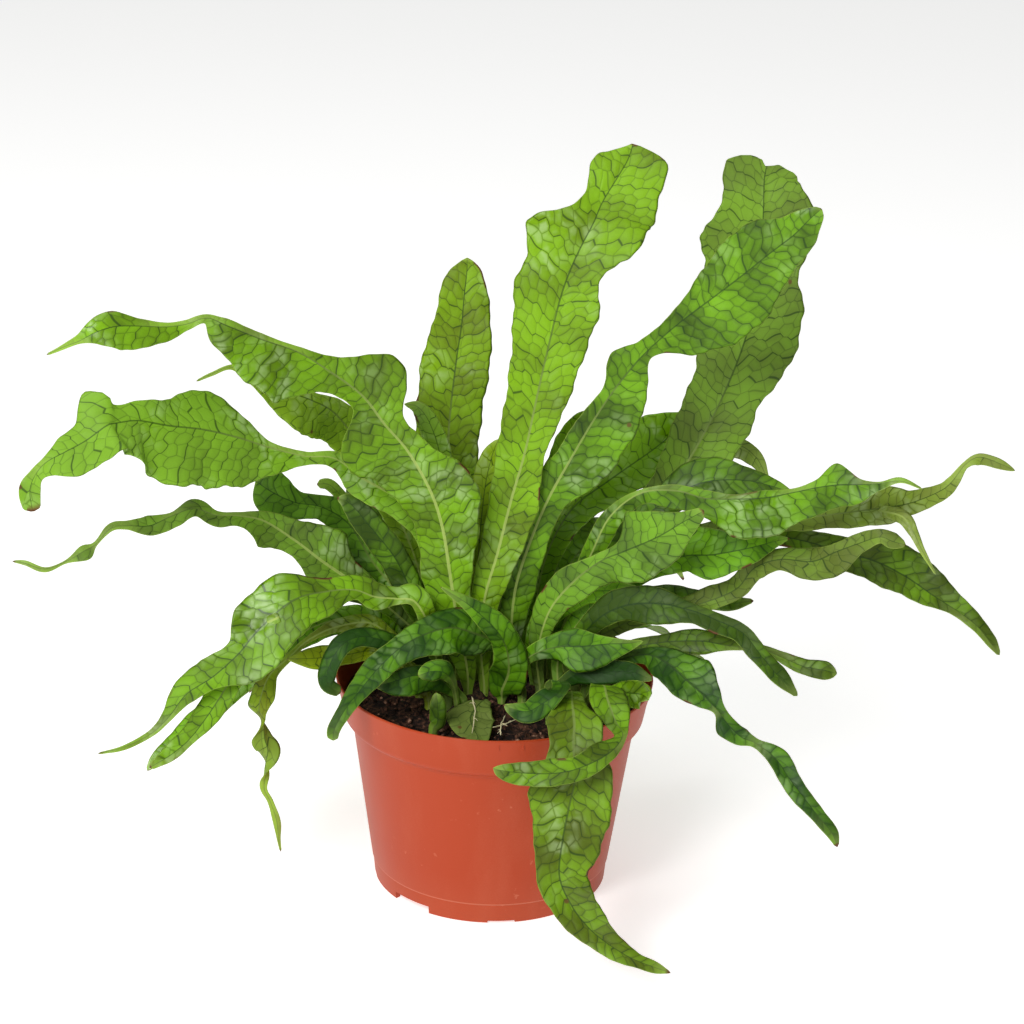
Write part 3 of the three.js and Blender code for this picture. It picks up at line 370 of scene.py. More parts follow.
    {"root": (37, -27), "side": LEFT, "rows": (
        (38, -38, 117, 4, 4), (38, -52, 123, 5, 5), (38, -67, 125, 7, 7), (39, -80, 121, 13, 13),
        (39, -88, 111, 14, 12), (40, -93, 98, 18, 18), (38, -97, 87, 20, 20), (35, -102, 70, 19, 14),
        (34, -108, 53, 14, 11), (40, -116, 42, 12, 10), (48, -124, 35, 10, 8), (57, -130, 30, 7, 6),
        (68, -136, 26, 5, 5), (78, -140, 24, 3.5, 3.5), (87, -142, 22, 0.5, 0.5),
    )},
    {"root": (47, -29), "side": LEFT_UP, "rows": (
        (48, -40, 116, 3, 3, 28), (53, -50, 127, 7, 6, 41), (55, -64, 126, 10, 9, 46),
        (59, -76, 120, 7, 6, 47), (62, -88, 118, 2, 4, 43), (55, -99, 114, 4, 8, 38),
        (41, -105, 109, 6, 6, 28), (28, -107, 107, 6, 7, 22), (14, -107, 107, 6, 5, 20),
        (5, -107, 108, 4, 3, 15), (1, -107, 109, 1, 1, 15),
    )},
    {"root": (51, -13), "rows": (
        (55, -27, 111, 2.5, 2.5), (64, -42, 120, 6, 6), (72, -52, 124, 6, 7), (75, -58, 124, 1.5, 2),
    )},
    {"root": (28, -34), "side": LEFT_UP, "rows": (
        (27, -38, 119, 2.5, 2.5, 20), (31, -49, 128, 4, 4, 35), (33, -62, 131, 4, 5, 45),
        (30, -71, 131, 4, 6, 40), (24, -74, 128, 6, 6, 30), (17, -77, 125, 6, 5, 20),
        (10, -77, 126, 4, 3, 20), (5, -77, 128, 0.5, 0.5, 20),
    )},
    {"root": (28, -18), "rows": (
        (29, -23, 111, 2, 2), (40, -27, 122, 4, 5), (52, -30, 125, 6, 6), (66, -32, 127, 5, 6),
        (78, -34, 124, 1, 1),
    )},
    {"root": (29, 30), "rows": (
        (30, 30, 121, 3, 3), (51, 31, 160, 5, 5), (76, 40, 190, 5, 5), (101, 49, 212, 6, 6),
        (119, 54, 216, 4, 7), (130, 55, 209, 3.5, 5), (137, 56, 196, 1, 1),
    )},
    {"root": (-31, 18), "lean": 20, "rows": (
        (-33, 18, 119, 3.5, 3.5), (-41, 14, 164, 6, 6), (-57, 8, 204, 8, 8), (-71, -1, 233, 11, 10),
        (-81, -10, 250, 15, 7), (-92, -18, 259, 18, 4), (-104, -26, 266, 13, 6), (-117, -34, 275, 5, 4),
        (-127, -41, 282, 1.5, 1.5), (-136, -46, 280, 1, 1), (-143, -48, 277, 0.5, 0.5),
    )},
    {"root": (-39, 12), "lean": 20, "rows": (
        (-38, 12, 116, 4, 4), (-48, 8, 145, 11, 10), (-63, 6, 167, 18, 13), (-74, 5, 186, 11, 15),
        (-87, -1, 197, 7, 6), (-100, -8, 202, 9, 7), (-111, -15, 210, 12, 11), (-118, -20, 217, 4, 4),
    )},
    {"root": (-22, -6), "rows": (
        (-28, -7, 125, 3.5, 3.5), (-40, -9, 152, 7, 6), (-50, -12, 175, 8, 7), (-63, -18, 195, 7, 7),
        (-72, -23, 208, 5, 5), (-78, -26, 212, 1, 1),
    )},
    {"root": (-45, 5), "rows": (
        (-48, 8, 109, 2.5, 2.5), (-56, 14, 137, 3, 3), (-66, 15, 168, 3.5, 3.5),
        (-73, 14, 185, 3.5, 3.5), (-77, 10, 197, 3, 3), (-84, 7, 206, 3, 3), (-90, 5, 207, 2, 2),
    )},
    {"root": (-14, 3), "rows": (
        (-17, 3, 137, 4, 4), (-26, -2, 193, 7, 7), (-29, -4, 225, 6, 6), (-34, -6, 243, 6, 5),
        (-40, -8, 253, 4, 3), (-47, -9, 255, 0.5, 0.5),
    )},
    {"root": (24, 12), "lean": 20, "rows": (
        (25, 11, 124, 3.5, 3.5), (42, 9, 155, 5, 5), (63, 9, 183, 7, 7), (83, 9, 202, 9, 8),
        (101, 9, 212, 13, 9), (121, 8, 214, 7, 9), (136, 5, 212, 4, 4), (146, 3, 209, 0.5, 0.5),
    )},
    {"root": (-4, -21), "stalk": 101, "side": LEFT, "rows": (
        (-4, -25, 105, 3, 3), (-8, -32, 105, 8, 8), (-11, -40, 103, 12, 12), (-10, -48, 102, 11, 11),
        (-7, -58, 101, 6, 6), (-5, -68, 101, 1, 1),
    )},
)
# Fronds on the far side: the root's bearing and distance from the middle, the reach, the rise and the sag.
BACK_FRONDS = (
    (44, 50, 110, 12, 60), (60, 44, 150, 60, 70), (70, 34, 100, 95, 60), (86, 48, 160, 55, 75),
    (98, 36, 100, 95, 50), (112, 46, 150, 60, 70), (130, 32, 100, 115, 60), (133, 46, 120, 34, 80),
    (147, 50, 110, 14, 70), (165, 55, 75, 30, 60),
)
BACK_STATIONS = 9
BACK_HALF = 15
BACK_SWAY = 7

# How light, how yellow and how grey each frond is, in the order of the fronds. The lightness is partly each
# frond's own tone and partly painted light and shade: fronds that sit in shade deep in the plant are set
# darker, and a few well-lit ones lighter.
LOOKS = (
    (0.8, 0.15, 0), (0.65, 0.2, 0), (0.65, 0.1, 0), (1.1, 0.1, 0.2), (0.55, 0.1, 0.25), (0.6, 0.1, 0),
    (1, 0.05, 0), (0.6, 0.3, 0), (1.2, 0.5, 0), (-0.1, 0, 0), (0.25, 0, 0), (0.3, 0, 0), (0.1, 0.05, 0),
    (0.4, 0, 0), (0.7, 0.15, 0), (0.5, 0.05, 0), (1.3, 0.1, 0), (1.3, 0.15, 0), (1.3, 0.35, 0),
    (0.55, 0.05, 0.2), (1.2, 0, 0), (0.5, 0.05, 0), (0.45, 0.35, 0.4), (0.7, 0, 0), (0.25, 0.2, 0.3),
    (0.1, 0.1, 0), (-0.05, 0.05, 0), (0.3, 0.05, 0), (0.2, 0.1, 0), (0.15, 0, 0), (0.4, 0, 0),
    (0.35, 0.15, 0), (0.4, 0.1, 0), (0.7, 0.1, 0), (0.15, 0, 0), (-0.8, 0, 0), (1.1, 0.4, 0.5),
    (1.7, 0.25, 0.15), (0.65, 0, 0.15), (0.1, 0.05, 0), (1.6, 0.2, 0.25), (1.6, 0.15, 0.3),
    (0.35, 0.05, 0), (0, 0.3, 0.25),
)
# The fronds on the far side are set lighter than their own tone, as painted light against the shade that
# falls on them.
BACK_LOOK = (0.75, 0.1, 0)
# Fronds that show their underside, and how deep the tip of a broken one is notched.
TURNED_FRONDS = (15, 44)
CLEFTS = {15: 4.5}
CLEFT_HALF = 3.2


def socket_name(word):
    """The shader's own name for a socket, such as Base Color from base_color."""
    return word.replace("_", " ").title().replace("Ior", "IOR")


class Value:
    """A socket that takes part in sums. Each sum adds its node."""

    def __init__(self, nodes, socket):
        self.nodes = nodes
        self.socket = socket

    def math(self, operation, *others):
        """This value and the others through one Math node."""
        return self.nodes.make("ShaderNodeMath", {"operation": operation}, dict(enumerate((self, *others))))

    def __add__(self, other):
        return self.math("ADD", other)

    def __sub__(self, other):
        return self.math("SUBTRACT", other)

    def __rsub__(self, other):
        return self.nodes.make("ShaderNodeMath", {"operation": "SUBTRACT"}, {0: other, 1: self})

    def __mul__(self, other):
        return self.math("MULTIPLY", other)

    def __truediv__(self, other):
        return self.math("DIVIDE", other)

    def __pow__(self, other):
        return self.math("POWER", other)

    __radd__ = __add__
    __rmul__ = __mul__

    def step(self, low, high):
        """0 up to low and 1 from high, smooth between them."""
        sockets = {"Value": self, "From Min": low, "From Max": high}
        return self.nodes.make("ShaderNodeMapRange", {"interpolation_type": "SMOOTHSTEP"}, sockets)


class Nodes:
    """The nodes of one material with a single shader."""

    def __init__(self, name, **numbers):
        self.material = bpy.data.materials.new(name)
        self.material.use_nodes = True
        self.tree = self.material.node_tree
        self.shader = self.tree.nodes["Principled BSDF"]
        self.feed(**numbers)

    def make(self, kind, settings, sockets, output=0):
        """One new node with its settings, and the values or links of its sockets."""
        node = self.tree.nodes.new(kind)
        for name, setting in settings.items():
            setattr(node, name, setting)
        for name, value in sockets.items():
            self.put(node.inputs[name], value)
        return Value(self, node.outputs[output])

    def put(self, socket, value):
        """Links a value to a socket, or sets the socket's own number or colour."""
        if isinstance(value, Value):
            self.tree.links.new(value.socket, socket)
        else:
            socket.default_value = value

    def feed(self, **values):
        """Puts values into the shader's sockets, by their names."""
        for name, value in values.items():
            self.put(self.shader.inputs[socket_name(name)], value)

    def parts(self, vector):
        """The three numbers of a vector."""
        split = self.make("ShaderNodeSeparateXYZ", {}, {0: vector})
        return [Value(self, socket) for socket in split.socket.node.outputs]

    def read(self, name):
        """The three numbers that the mesh keeps at each corner under this name."""
        return self.parts(self.make("ShaderNodeAttribute", {"attribute_name": name}, {}, "Vector"))

    def spots(self):
        """Places on the piece, in metres."""
        return self.make("ShaderNodeTexCoord", {}, {}, "Object")

    def clouds(self, place, scale, detail=2.0, roughness=0.5):
        """Soft noise from 0 to 1."""
        sockets = {"Vector": place, "Scale": scale, "Detail": detail, "Roughness": roughness}
        return self.make("ShaderNodeTexNoise", {}, sockets, "Fac")

    def cells(self, place, scale):
        """Distance to the middle of the nearest scattered cell."""
        return self.make("ShaderNodeTexVoronoi", {}, {"Vector": place, "Scale": scale}, "Distance")

    def mix(self, share, first, second):
        """A colour between two."""
        return self.make("ShaderNodeMix", {"data_type": "RGBA"}, {0: share, 6: first, 7: second}, 2)

    def bump(self, height, strength, distance):
        """A surface direction that follows a height."""
        sockets = {"Height": height, "Strength": strength, "Distance": distance}
        return self.make("ShaderNodeBump", {}, sockets)


def colour(text):
    """A linear colour from its six screen digits."""
    parts = [int(text[i:i + 2], 16) / 255 for i in (0, 2, 4)]
    return (*[p / 12.92 if p <= 0.04045 else ((p + 0.055) / 1.055) ** 2.4 for p in parts], 1)


def sine(v):
    """The sine of a socket's value or of an array, as with the five functions below."""
    return v.math("SINE") if isinstance(v, Value) else np.sin(v)


def floor(v):
    return v.math("FLOOR") if isinstance(v, Value) else np.floor(v)


def size(v):
    return v.math("ABSOLUTE") if isinstance(v, Value) else np.abs(v)


def least(a, b):
    return a.math("MINIMUM", b) if isinstance(a, Value) else np.minimum(a, b)


def most(a, b):
    return a.math("MAXIMUM", b) if isinstance(a, Value) else np.maximum(a, b)


def above(a, b):
    return a.math("GREATER_THAN", b) if isinstance(a, Value) else (a > b) * 1.0


def pick(a, b, first, second):
    """The first value where a is the smaller, and the second elsewhere."""
    return first + above(a, b) * (second - first)


def cell_middle(number, row, side, cell_place, row_place):
    """Squared distance to the uneven middle of one cell, its part across, and the cell's own number."""
    mark = 12.9 * number + 7.3 * row + 3 * side
    first, second = sine(mark), sine(1.7 * mark + 1)
    x = (number + UNEVEN * first - cell_place) * CELL
    y = (row + UNEVEN * second - row_place) * VEIN_PITCH
    return x * x + y * y, x, first


def vein_net(across, along):
    """Millimetres to the nearest side vein and to the nearest cross vein, a number of the cell between them,
    and 1 where that side vein is a main one. The cells stand in rows like bricks, each round its own uneven
    middle. It works alike on arrays for the relief and on sockets for the colour."""
    out = size(across)
    side = above(across, 0)
    bow = 0.22 * sine(0.11 * along + 2 * side) + 0.12 * sine(0.45 * out + 0.2 * along)
    slant = VEIN_SLOPE * out * (1 - out / VEIN_BEND)
    row_place = (along - slant) / VEIN_PITCH + 0.5 * side + bow
    row = floor(row_place)
    rows = []
    for at in (row, row + 1):
        cell_place = out / CELL + 0.5 * sine(2.4 * at + 5 * side) + 20
        number = floor(cell_place)
        near, x_near, tone_near = cell_middle(number, at, side, cell_place, row_place)
        next_, x_next, tone_next = cell_middle(number + 1, at, side, cell_place, row_place)
        x = pick(near, next_, x_near, x_next)
        rows.append((least(near, next_), most(near, next_), x, pick(near, next_, tone_near, tone_next)))
    (low, low_next, low_x, low_tone), (high, high_next, high_x, high_tone) = rows
    gap = low_x - high_x
    to_side = size(low - high) / (2 * (VEIN_PITCH ** 2 + gap * gap) ** 0.5)
    to_cross = pick(low, high, low_next - low, high_next - high) / (2 * CELL)
    main = row - 2 * floor(row / 2)
    return to_side, to_cross, pick(low, high, low_tone, high_tone), main


def fine_line(rows):
    """Catmull-Rom line through the rows, with STEPS points to an interval."""
    full = np.array([(*row, 0)[:6] for row in rows], float)
    ends = np.vstack([2 * full[0] - full[1], full, 2 * full[-1] - full[-2]])
    t = (np.arange(STEPS) / STEPS)[:, None]
    line = []
    for a, b, c, d in zip(ends, ends[1:], ends[2:], ends[3:]):
        bend = 2 * a - 5 * b + 4 * c - d
        twist = 3 * b - a - 3 * c + d
        line.append(0.5 * (2 * b + (c - a) * t + bend * t ** 2 + twist * t ** 3))
    return np.vstack([*line, full[-1:]])


def curve(points):
    """Points of a smooth line through a few of them."""
    return fine_line([(*point, 0, 0) for point in points])[:, :3]


def unit(vectors):
    """The same directions at length 1."""
    return vectors / np.linalg.norm(vectors, axis=-1, keepdims=True)


def frames(line, side, lean):
    """Across the blade and out of it, at each point of the line."""
    place = line[:, :3]
    along = unit(np.vstack([place[1:2] - place[:1], place[2:] - place[:-2], place[-1:] - place[-2:-1]]))

    def level(direction):
        flat = np.array(direction, float) * np.ones_like(along)
        return unit(flat - (flat * along).sum(1)[:, None] * along)

    if side:
        across = level(side)
        out = np.cross(across, along)
    else:
        out = level(FRONT)
        across = np.cross(along, out)
    stations = np.arange(len(line)) / STEPS
    leaning = lean * along[:, 0] * np.clip((stations - 2) / 3, 0, 1)
    turn = np.radians(line[:, 5] - leaning)[:, None]
    return across * np.cos(turn) - out * np.sin(turn), out * np.cos(turn) + across * np.sin(turn)


def even_line(rows, side, lean):
    """The blade's line at even steps, across and out of it, its share of the stations and its length."""
    line = fine_line(rows)
    across, out = frames(line, side, lean)
    lengths = np.concatenate([[0], np.cumsum(np.linalg.norm(np.diff(line[:, :3], axis=0), axis=1))])
    share = np.arange(len(line)) / (len(line) - 1)
    along = np.linspace(0, lengths[-1], max(FEWEST_ROWS, math.ceil(lengths[-1] / GRAIN)))
    whole = np.column_stack([line, across, out, share])
    whole = np.column_stack([np.interp(along, lengths, part) for part in whole.T])
    return whole[:, :6], unit(whole[:, 6:9]), unit(whole[:, 9:12]), whole[:, 12:], along[:, None]


def spread(line, along, seed):
    """The mesh's columns from -1 to 1, the same drawn towards the midrib, the half-width and the millimetres
    across, with a round tip and scalloped edges."""
    columns = int(np.clip(math.ceil(line[:, 3:5].max() / GRAIN), FEWEST_COLUMNS, MOST_COLUMNS))
    s = np.linspace(-1, 1, 2 * columns + 1)[None, :]
    t = 0.8 * s + 0.2 * s ** 3
    left_half = np.maximum(THINNEST, line[:, 3:4])
    right_half = np.maximum(THINNEST, line[:, 4:5])
    half = left_half + (right_half - left_half) * (t >= 0)
    rounding = np.minimum(TIP_ROUND, 1 + 0.4 * half[-1:].max())
    half = half * np.sqrt(1 - np.clip(1 - (along[-1] - along) / rounding, 0, 0.97) ** 2)
    wide = 0.028 * np.sin(0.31 * along + 5 * seed + 1.3 * (t > 0))
    fine = 0.012 * np.sin(0.83 * along + 3 * seed)
    return s, t, half, t * half * (1 + (wide + fine) * np.abs(t) ** 3)


def lift(t, half, x, share, along, seed, under):
    """How far the blade's middle stands out of the flat: its dish, waves, frill and raised cells."""
    right = (t > 0) * 1.0
    small = np.minimum(1, half / FULL_WAVE)
    wave = RUFFLE * small * t ** 2 * np.sin(2 * math.pi * WAVES * share + LAG * right)
    frill = FRILL * small * np.abs(t) ** 3 * np.sin(0.27 * along + 3 * seed + 2 * right)
    to_side, to_cross, _, main = vein_net(x, along + SHIFT * seed + 0 * x)
    side_slope = 1 - np.exp(-(to_side / 1.8) ** 2)
    cross_slope = 1 - np.exp(-(to_cross / 1.5) ** 2)
    domes = (0.35 + 0.4 * main) * side_slope + 0.25 * cross_slope
    quilt = QUILT * domes * small * (1 - t ** 6) * (1 - np.exp(-(x / 2) ** 2))
    return DISH * np.abs(t) * half + wave + frill + (-1 if under else 1) * quilt


def thickness(s, half, x, share, along, under):
    """How far the upper and the lower face stand off the middle. The midrib's keel is on the underside."""
    round_edge = np.sqrt(1 - s ** 2)
    body = (0.3 + 1.3 * np.exp(-along / 22)) * round_edge
    stout = np.clip(1 - share / 0.75, 0, 1)
    ridge = 0.4 * stout * np.exp(-(x / (0.4 + 0.7 * stout)) ** 2)
    keel = (0.35 + 0.8 * (1 - share)) * np.exp(-(x / (0.6 + 0.7 * (1 - share))) ** 2)
    first, second = (keel, ridge) if under else (ridge, keel)
    inner = np.minimum(1, half / 3) * round_edge
    return body + first * inner, body + second * inner


def shell(count, columns):
    """Faces of a closed shell: an upper and a lower sheet that share their side edges, and the two ends."""
    top = np.arange(count * columns).reshape(count, columns)
    low = top.copy()
    low[:, 1:-1] = count * columns + np.arange(count * (columns - 2)).reshape(count, columns - 2)
    faces = []
    for sheet, order in ((top, (0, 1, 2, 3)), (low, (0, 3, 2, 1))):
        quad = sheet[:-1, :-1], sheet[:-1, 1:], sheet[1:, 1:], sheet[1:, :-1]
        faces += np.stack([quad[i] for i in order], -1).reshape(-1, 4).tolist()
    root = [*top[0][::-1], *low[0][1:-1]]
    tip = [*top[-1], *low[-1][1:-1][::-1]]
    return faces + [[int(v) for v in root], [int(v) for v in tip]]


def sheets(upper, lower):
    """The numbers of the upper sheet, then those of the lower one without the edges that they share."""
    return np.concatenate([upper.reshape(-1), lower[:, 1:-1].reshape(-1)])


def blade(rows, side, lean, seed, under, look, cleft=0.0):
    """Corners, faces and the numbers at each corner of one blade or tongue."""
    line, across, out, share, along = even_line(rows, side, lean)
    s, t, half, x = spread(line, along, seed)
    rise = lift(t, half, x, share, along, seed, under)
    middle = line[:, None, :3] + across[:, None] * x[:, :, None] + out[:, None] * rise[:, :, None]
    if cleft:
        near_tip = np.clip(1 - (along[-1] - along) / (3 * cleft), 0, 1)
        deep = cleft * np.exp(-(x / CLEFT_HALF) ** 2) * near_tip
        middle = middle - unit(np.gradient(line[:, :3], axis=0))[:, None] * deep[:, :, None]
    over, below = thickness(s, half, x, share, along, under)
    upper = middle + out[:, None] * over[:, :, None]
    lower = middle - out[:, None] * below[:, :, None]
    corners = np.vstack([upper.reshape(-1, 3), lower[:, 1:-1].reshape(-1, 3)])
    full = np.ones_like(x)
    up, down = (0, 1) if under else (1, 0)
    facing = sheets(np.where(np.abs(s) > 0.999, 0.5, up) * full, down * full)
    marks = along + SHIFT * seed + 0 * x
    kept = {
        "blade": np.stack([sheets(part, part) for part in (x, marks, half)], -1),
        "place": np.stack([sheets(t * full, t * full), sheets(share * full, share * full), facing], -1),
        "looks": np.tile(look, (len(corners), 1)),
    }
    return corners, shell(*x.shape), kept


def back_frond(bearing, distance, reach, rise, sag, k):
    """A frond that arches away from the viewer."""
    x, y = math.cos(math.radians(bearing)), math.sin(math.radians(bearing))
    rows = []
    for i in range(BACK_STATIONS):
        s = (i + 1) / BACK_STATIONS
        radius = distance + reach * (0.1 * s + 0.9 * s ** 1.4)
        sway = BACK_SWAY * math.sin(4 * s + k) * s
        half = max(1, BACK_HALF * math.sin(math.pi * (0.06 + 0.93 * s)) ** 0.8)
        height = STALK_TOP + 6 * s + rise * math.sin(2 * s) - sag * s ** 3
        left = half * (1 + 0.2 * math.sin(11 * s + k))
        right = half * (1 + 0.2 * math.sin(10 * s + 2 * k))
        rows.append((radius * x - sway * y, radius * y + sway * x, height, left, right))
    return {"root": (distance * x, distance * y), "side": (y, -x, 0), "rows": rows}


def stalk_rows(frond):
    """The two stations of a frond's stalk, from its foot up."""
    x, y = frond["root"]
    half = STALK_HALF + STALK_SWELL
    return [(x, y, STALK_FOOT, STALK_HALF, STALK_HALF), (x, y, frond.get("stalk", STALK_TOP), half, half)]


def whole_frond(frond, number):
    """Corners, faces and kept numbers of a frond, with its side tongue if it has one."""
    look = LOOKS[number - 1] if number <= len(LOOKS) else BACK_LOOK
    under = number in TURNED_FRONDS
    side, lean = frond.get("side"), frond.get("lean", 0)
    seed = SEED_STEP * number
    rows = [*stalk_rows(frond), *frond["rows"]]
    blades = [blade(rows, side, lean, seed, under, look, CLEFTS.get(number, 0))]
    if "fork" in frond:
        blades.append(blade(frond["fork"], side, 0, seed + 1, under, look))
    corners, faces = gathered([(points, sides) for points, sides, _ in blades])
    kept = {key: np.vstack([numbers[key] for _, _, numbers in blades]) for key in blades[0][2]}
    return corners, faces, kept


def gathered(shapes):
    """Several (corners, faces) as one."""
    corners, faces = [], []
    for points, sides in shapes:
        start = len(corners)
        corners += list(points)
        faces += [tuple(v + start for v in side) for side in sides]
    return corners, faces


def mesh_object(name, corners, faces, kept=None, material=None):
    """A new piece from its corners in millimetres, with the numbers that its material reads."""
    mesh = bpy.data.meshes.new(name)
    mesh.from_pydata((np.asarray(corners) * MM).tolist(), [], faces)
    for key, numbers in (kept or {}).items():
        attribute = mesh.attributes.new(key, "FLOAT_VECTOR", "POINT")
        attribute.data.foreach_set("vector", np.ascontiguousarray(numbers, np.float32).ravel())
    if material:
        mesh.materials.append(material)
    mesh.shade_smooth()
    piece = bpy.data.objects.new(name, mesh)
    bpy.context.scene.collection.objects.link(piece)
    return piece


def settle(piece, node):
    """Lets a piece stand for its node."""
    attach(piece, "root")
    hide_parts(node)


def only(piece):
    """Selects one piece and makes it active."""
    bpy.ops.object.select_all(action="DESELECT")
    piece.select_set(True)
    bpy.context.view_layer.objects.active = piece


def wheel(profile, sides, name):
    """A piece from a ring that is extruded along a profile of (radius, height), closed at both ends."""
    bpy.ops.object.select_all(action="DESELECT")
    radius, height = profile[0]
    bpy.ops.mesh.primitive_circle_add(vertices=sides, radius=radius * MM, location=(0, 0, height * MM))
    piece = bpy.context.object
    piece.name = name
    bpy.ops.object.transform_apply(location=True)
    bpy.ops.object.mode_set(mode="EDIT")
    bpy.ops.mesh.select_all(action="SELECT")
    for (r0, z0), (r1, z1) in zip(profile, profile[1:]):
        bpy.ops.mesh.extrude_region_move(TRANSFORM_OT_translate={"value": (0, 0, (z1 - z0) * MM)})
        bpy.ops.transform.resize(value=(r1 / r0, r1 / r0, 1), center_override=(0, 0, 0))
    bpy.ops.mesh.edge_face_add()
    bpy.ops.mesh.select_all(action="DESELECT")
    bpy.ops.object.mode_set(mode="OBJECT")
    for vertex in piece.data.vertices[:sides]:
        vertex.select = True
    bpy.ops.object.mode_set(mode="EDIT")
    bpy.ops.mesh.edge_face_add()
    bpy.ops.mesh.select_all(action="SELECT")
    bpy.ops.mesh.normals_make_consistent(inside=False)
    bpy.ops.object.mode_set(mode="OBJECT")
    return piece


def cut(piece, cutter):
    """Takes the cutter out of the piece and removes it."""
    only(piece)
    modifier = piece.modifiers.new("cut", "BOOLEAN")
    modifier.object = cutter
    modifier.operation = "DIFFERENCE"
    bpy.ops.object.modifier_apply(modifier=modifier.name)
    bpy.data.objects.remove(cutter)


def block(centre, sides, bearing):
    """A box at a bearing round Z."""
    bpy.ops.object.select_all(action="DESELECT")
    turn = Matrix.Rotation(math.radians(bearing), 4, "Z")
    place = turn @ Vector(centre) * MM
    bpy.ops.mesh.primitive_cube_add(size=1, location=place, rotation=(0, 0, math.radians(bearing)))
    piece = bpy.context.object
    piece.scale = [v * MM for v in sides]
    bpy.ops.object.transform_apply(location=True, rotation=True, scale=True)
    return piece


def tint(name, description, text):
    """A colour that a user may change."""
    return FloatVectorProperty(
        name=name, description=description, subtype="COLOR", size=4, default=colour(text))


class PotSizes(bpy.types.PropertyGroup):
    """Sizes and colours of the pot."""

    sides: IntProperty(name="Sides", description="Faces round the pot", default=144, min=24)
    plastic: tint("Plastic", "Colour of the plastic", "a93c18")
    scuff: tint("Scuffs", "Pale scuffs of the plastic", "cf7d60")


class PeatSizes(bpy.types.PropertyGroup):
    """Sizes and colours of the peat, the stem and the dry roots."""

    crumbs: IntProperty(name="Crumbs", description="Loose crumbs on the peat", default=900, min=0)
    crumb_size: FloatProperty(name="Crumb size", description="Usual crumb", default=0.0021, unit="LENGTH")
    fibres: IntProperty(name="Fibres", description="Short fibres on the peat", default=90, min=0)
    dark: tint("Dark peat", "Damp peat", "150d0a")
    brown: tint("Brown peat", "Dry crumbs", "5c3d2e")
    tan: tint("Tan bits", "Bark and husk", "a5806a")
    stem: tint("Stem", "Furry scales of the creeping stem", "5a4029")
    straw: tint("Dry root", "Straw-coloured roots", "dcd2a8")


class FrondTints(bpy.types.PropertyGroup):
    """Colours of the fronds."""

    # Between the dark and the light green lies painted shade and light as well as each frond's own tone:
    # fronds in shade deep in the plant are coloured near the dark green.
    light: tint("Light green", "Upper side of a light frond", "74b010")
    dark: tint("Dark green", "Upper side of a dark frond", "1c4200")
    yellow: tint("Yellow", "A frond that turns", "a8a010")
    under: tint("Underside", "Lower side of a frond", "6c8248")
    # A pale whitish sheen, painted on the raised cells in place of the lamps' highlights.
    painted_sheen: tint("Painted sheen", "Painted sheen of the raised cells", "c9dcae")
    vein: tint("Veins", "Net of veins", "163404")
    rib: tint("Rib", "Midrib and stalk low down", "a9bd62")
    edge: tint("Edge", "Rim of the blade", "9db64a")
    brown: tint("Brown", "Dry tips and specks", "5d3a1c")


def add_tab_rib(pot, turn):
    """One of the two small upright ribs of the label tab under the rim."""
    sides = (TAB_DEPTH, TAB_WIDTH, TAB_HIGH - TAB_LOW)
    rib = block((TAB_RADIUS, 0, (TAB_LOW + TAB_HIGH) / 2), sides, TAB_BEARING + turn)
    only(rib)
    bevel = rib.modifiers.new("round", "BEVEL")
    bevel.width = TAB_ROUND * MM
    bpy.ops.object.modifier_apply(modifier=bevel.name)
    only(pot)
    rib.select_set(True)
    bpy.ops.object.join()


def pot_material(sizes):
    """Satin moulded plastic with faint flow marks, small scuffs, and colour that pales towards the foot and
    along a thin line at the foot's ledge.
    """
    n = Nodes("terracotta_plastic", specular_ior_level=0.24)
    spots = n.spots()
    height = n.parts(spots)[2]
    flow = n.clouds(n.make("ShaderNodeMapping", {}, {"Vector": spots, "Scale": (1, 1, 0.25)}), 55, 4)
    grain = n.clouds(spots, 1500, 2)
    scuff = n.clouds(spots, 260, 4).step(0.66, 0.74) * n.clouds(spots, 24).step(0.5, 0.62)
    # The colour pales towards the foot and along a thin line at the foot's ledge.
    foot_line = 1 - size(height - 0.0108).step(0.0002, 0.0007)
    pale_towards_foot = (1 - height.step(0.0, 0.03)) * 0.1 + foot_line * 0.45
    base = n.mix(0.35 * (flow - 0.5) + 0.12 * (grain - 0.5), sizes.plastic, sizes.scuff)
    n.feed(
        base_color=n.mix(least(pale_towards_foot + 0.35 * scuff, 1), base, sizes.scuff),
        roughness=0.46 + 0.12 * (flow - 0.5) + 0.15 * scuff,
        normal=n.bump(grain + 0.6 * flow, 0.12, 0.0004))
    return n.material


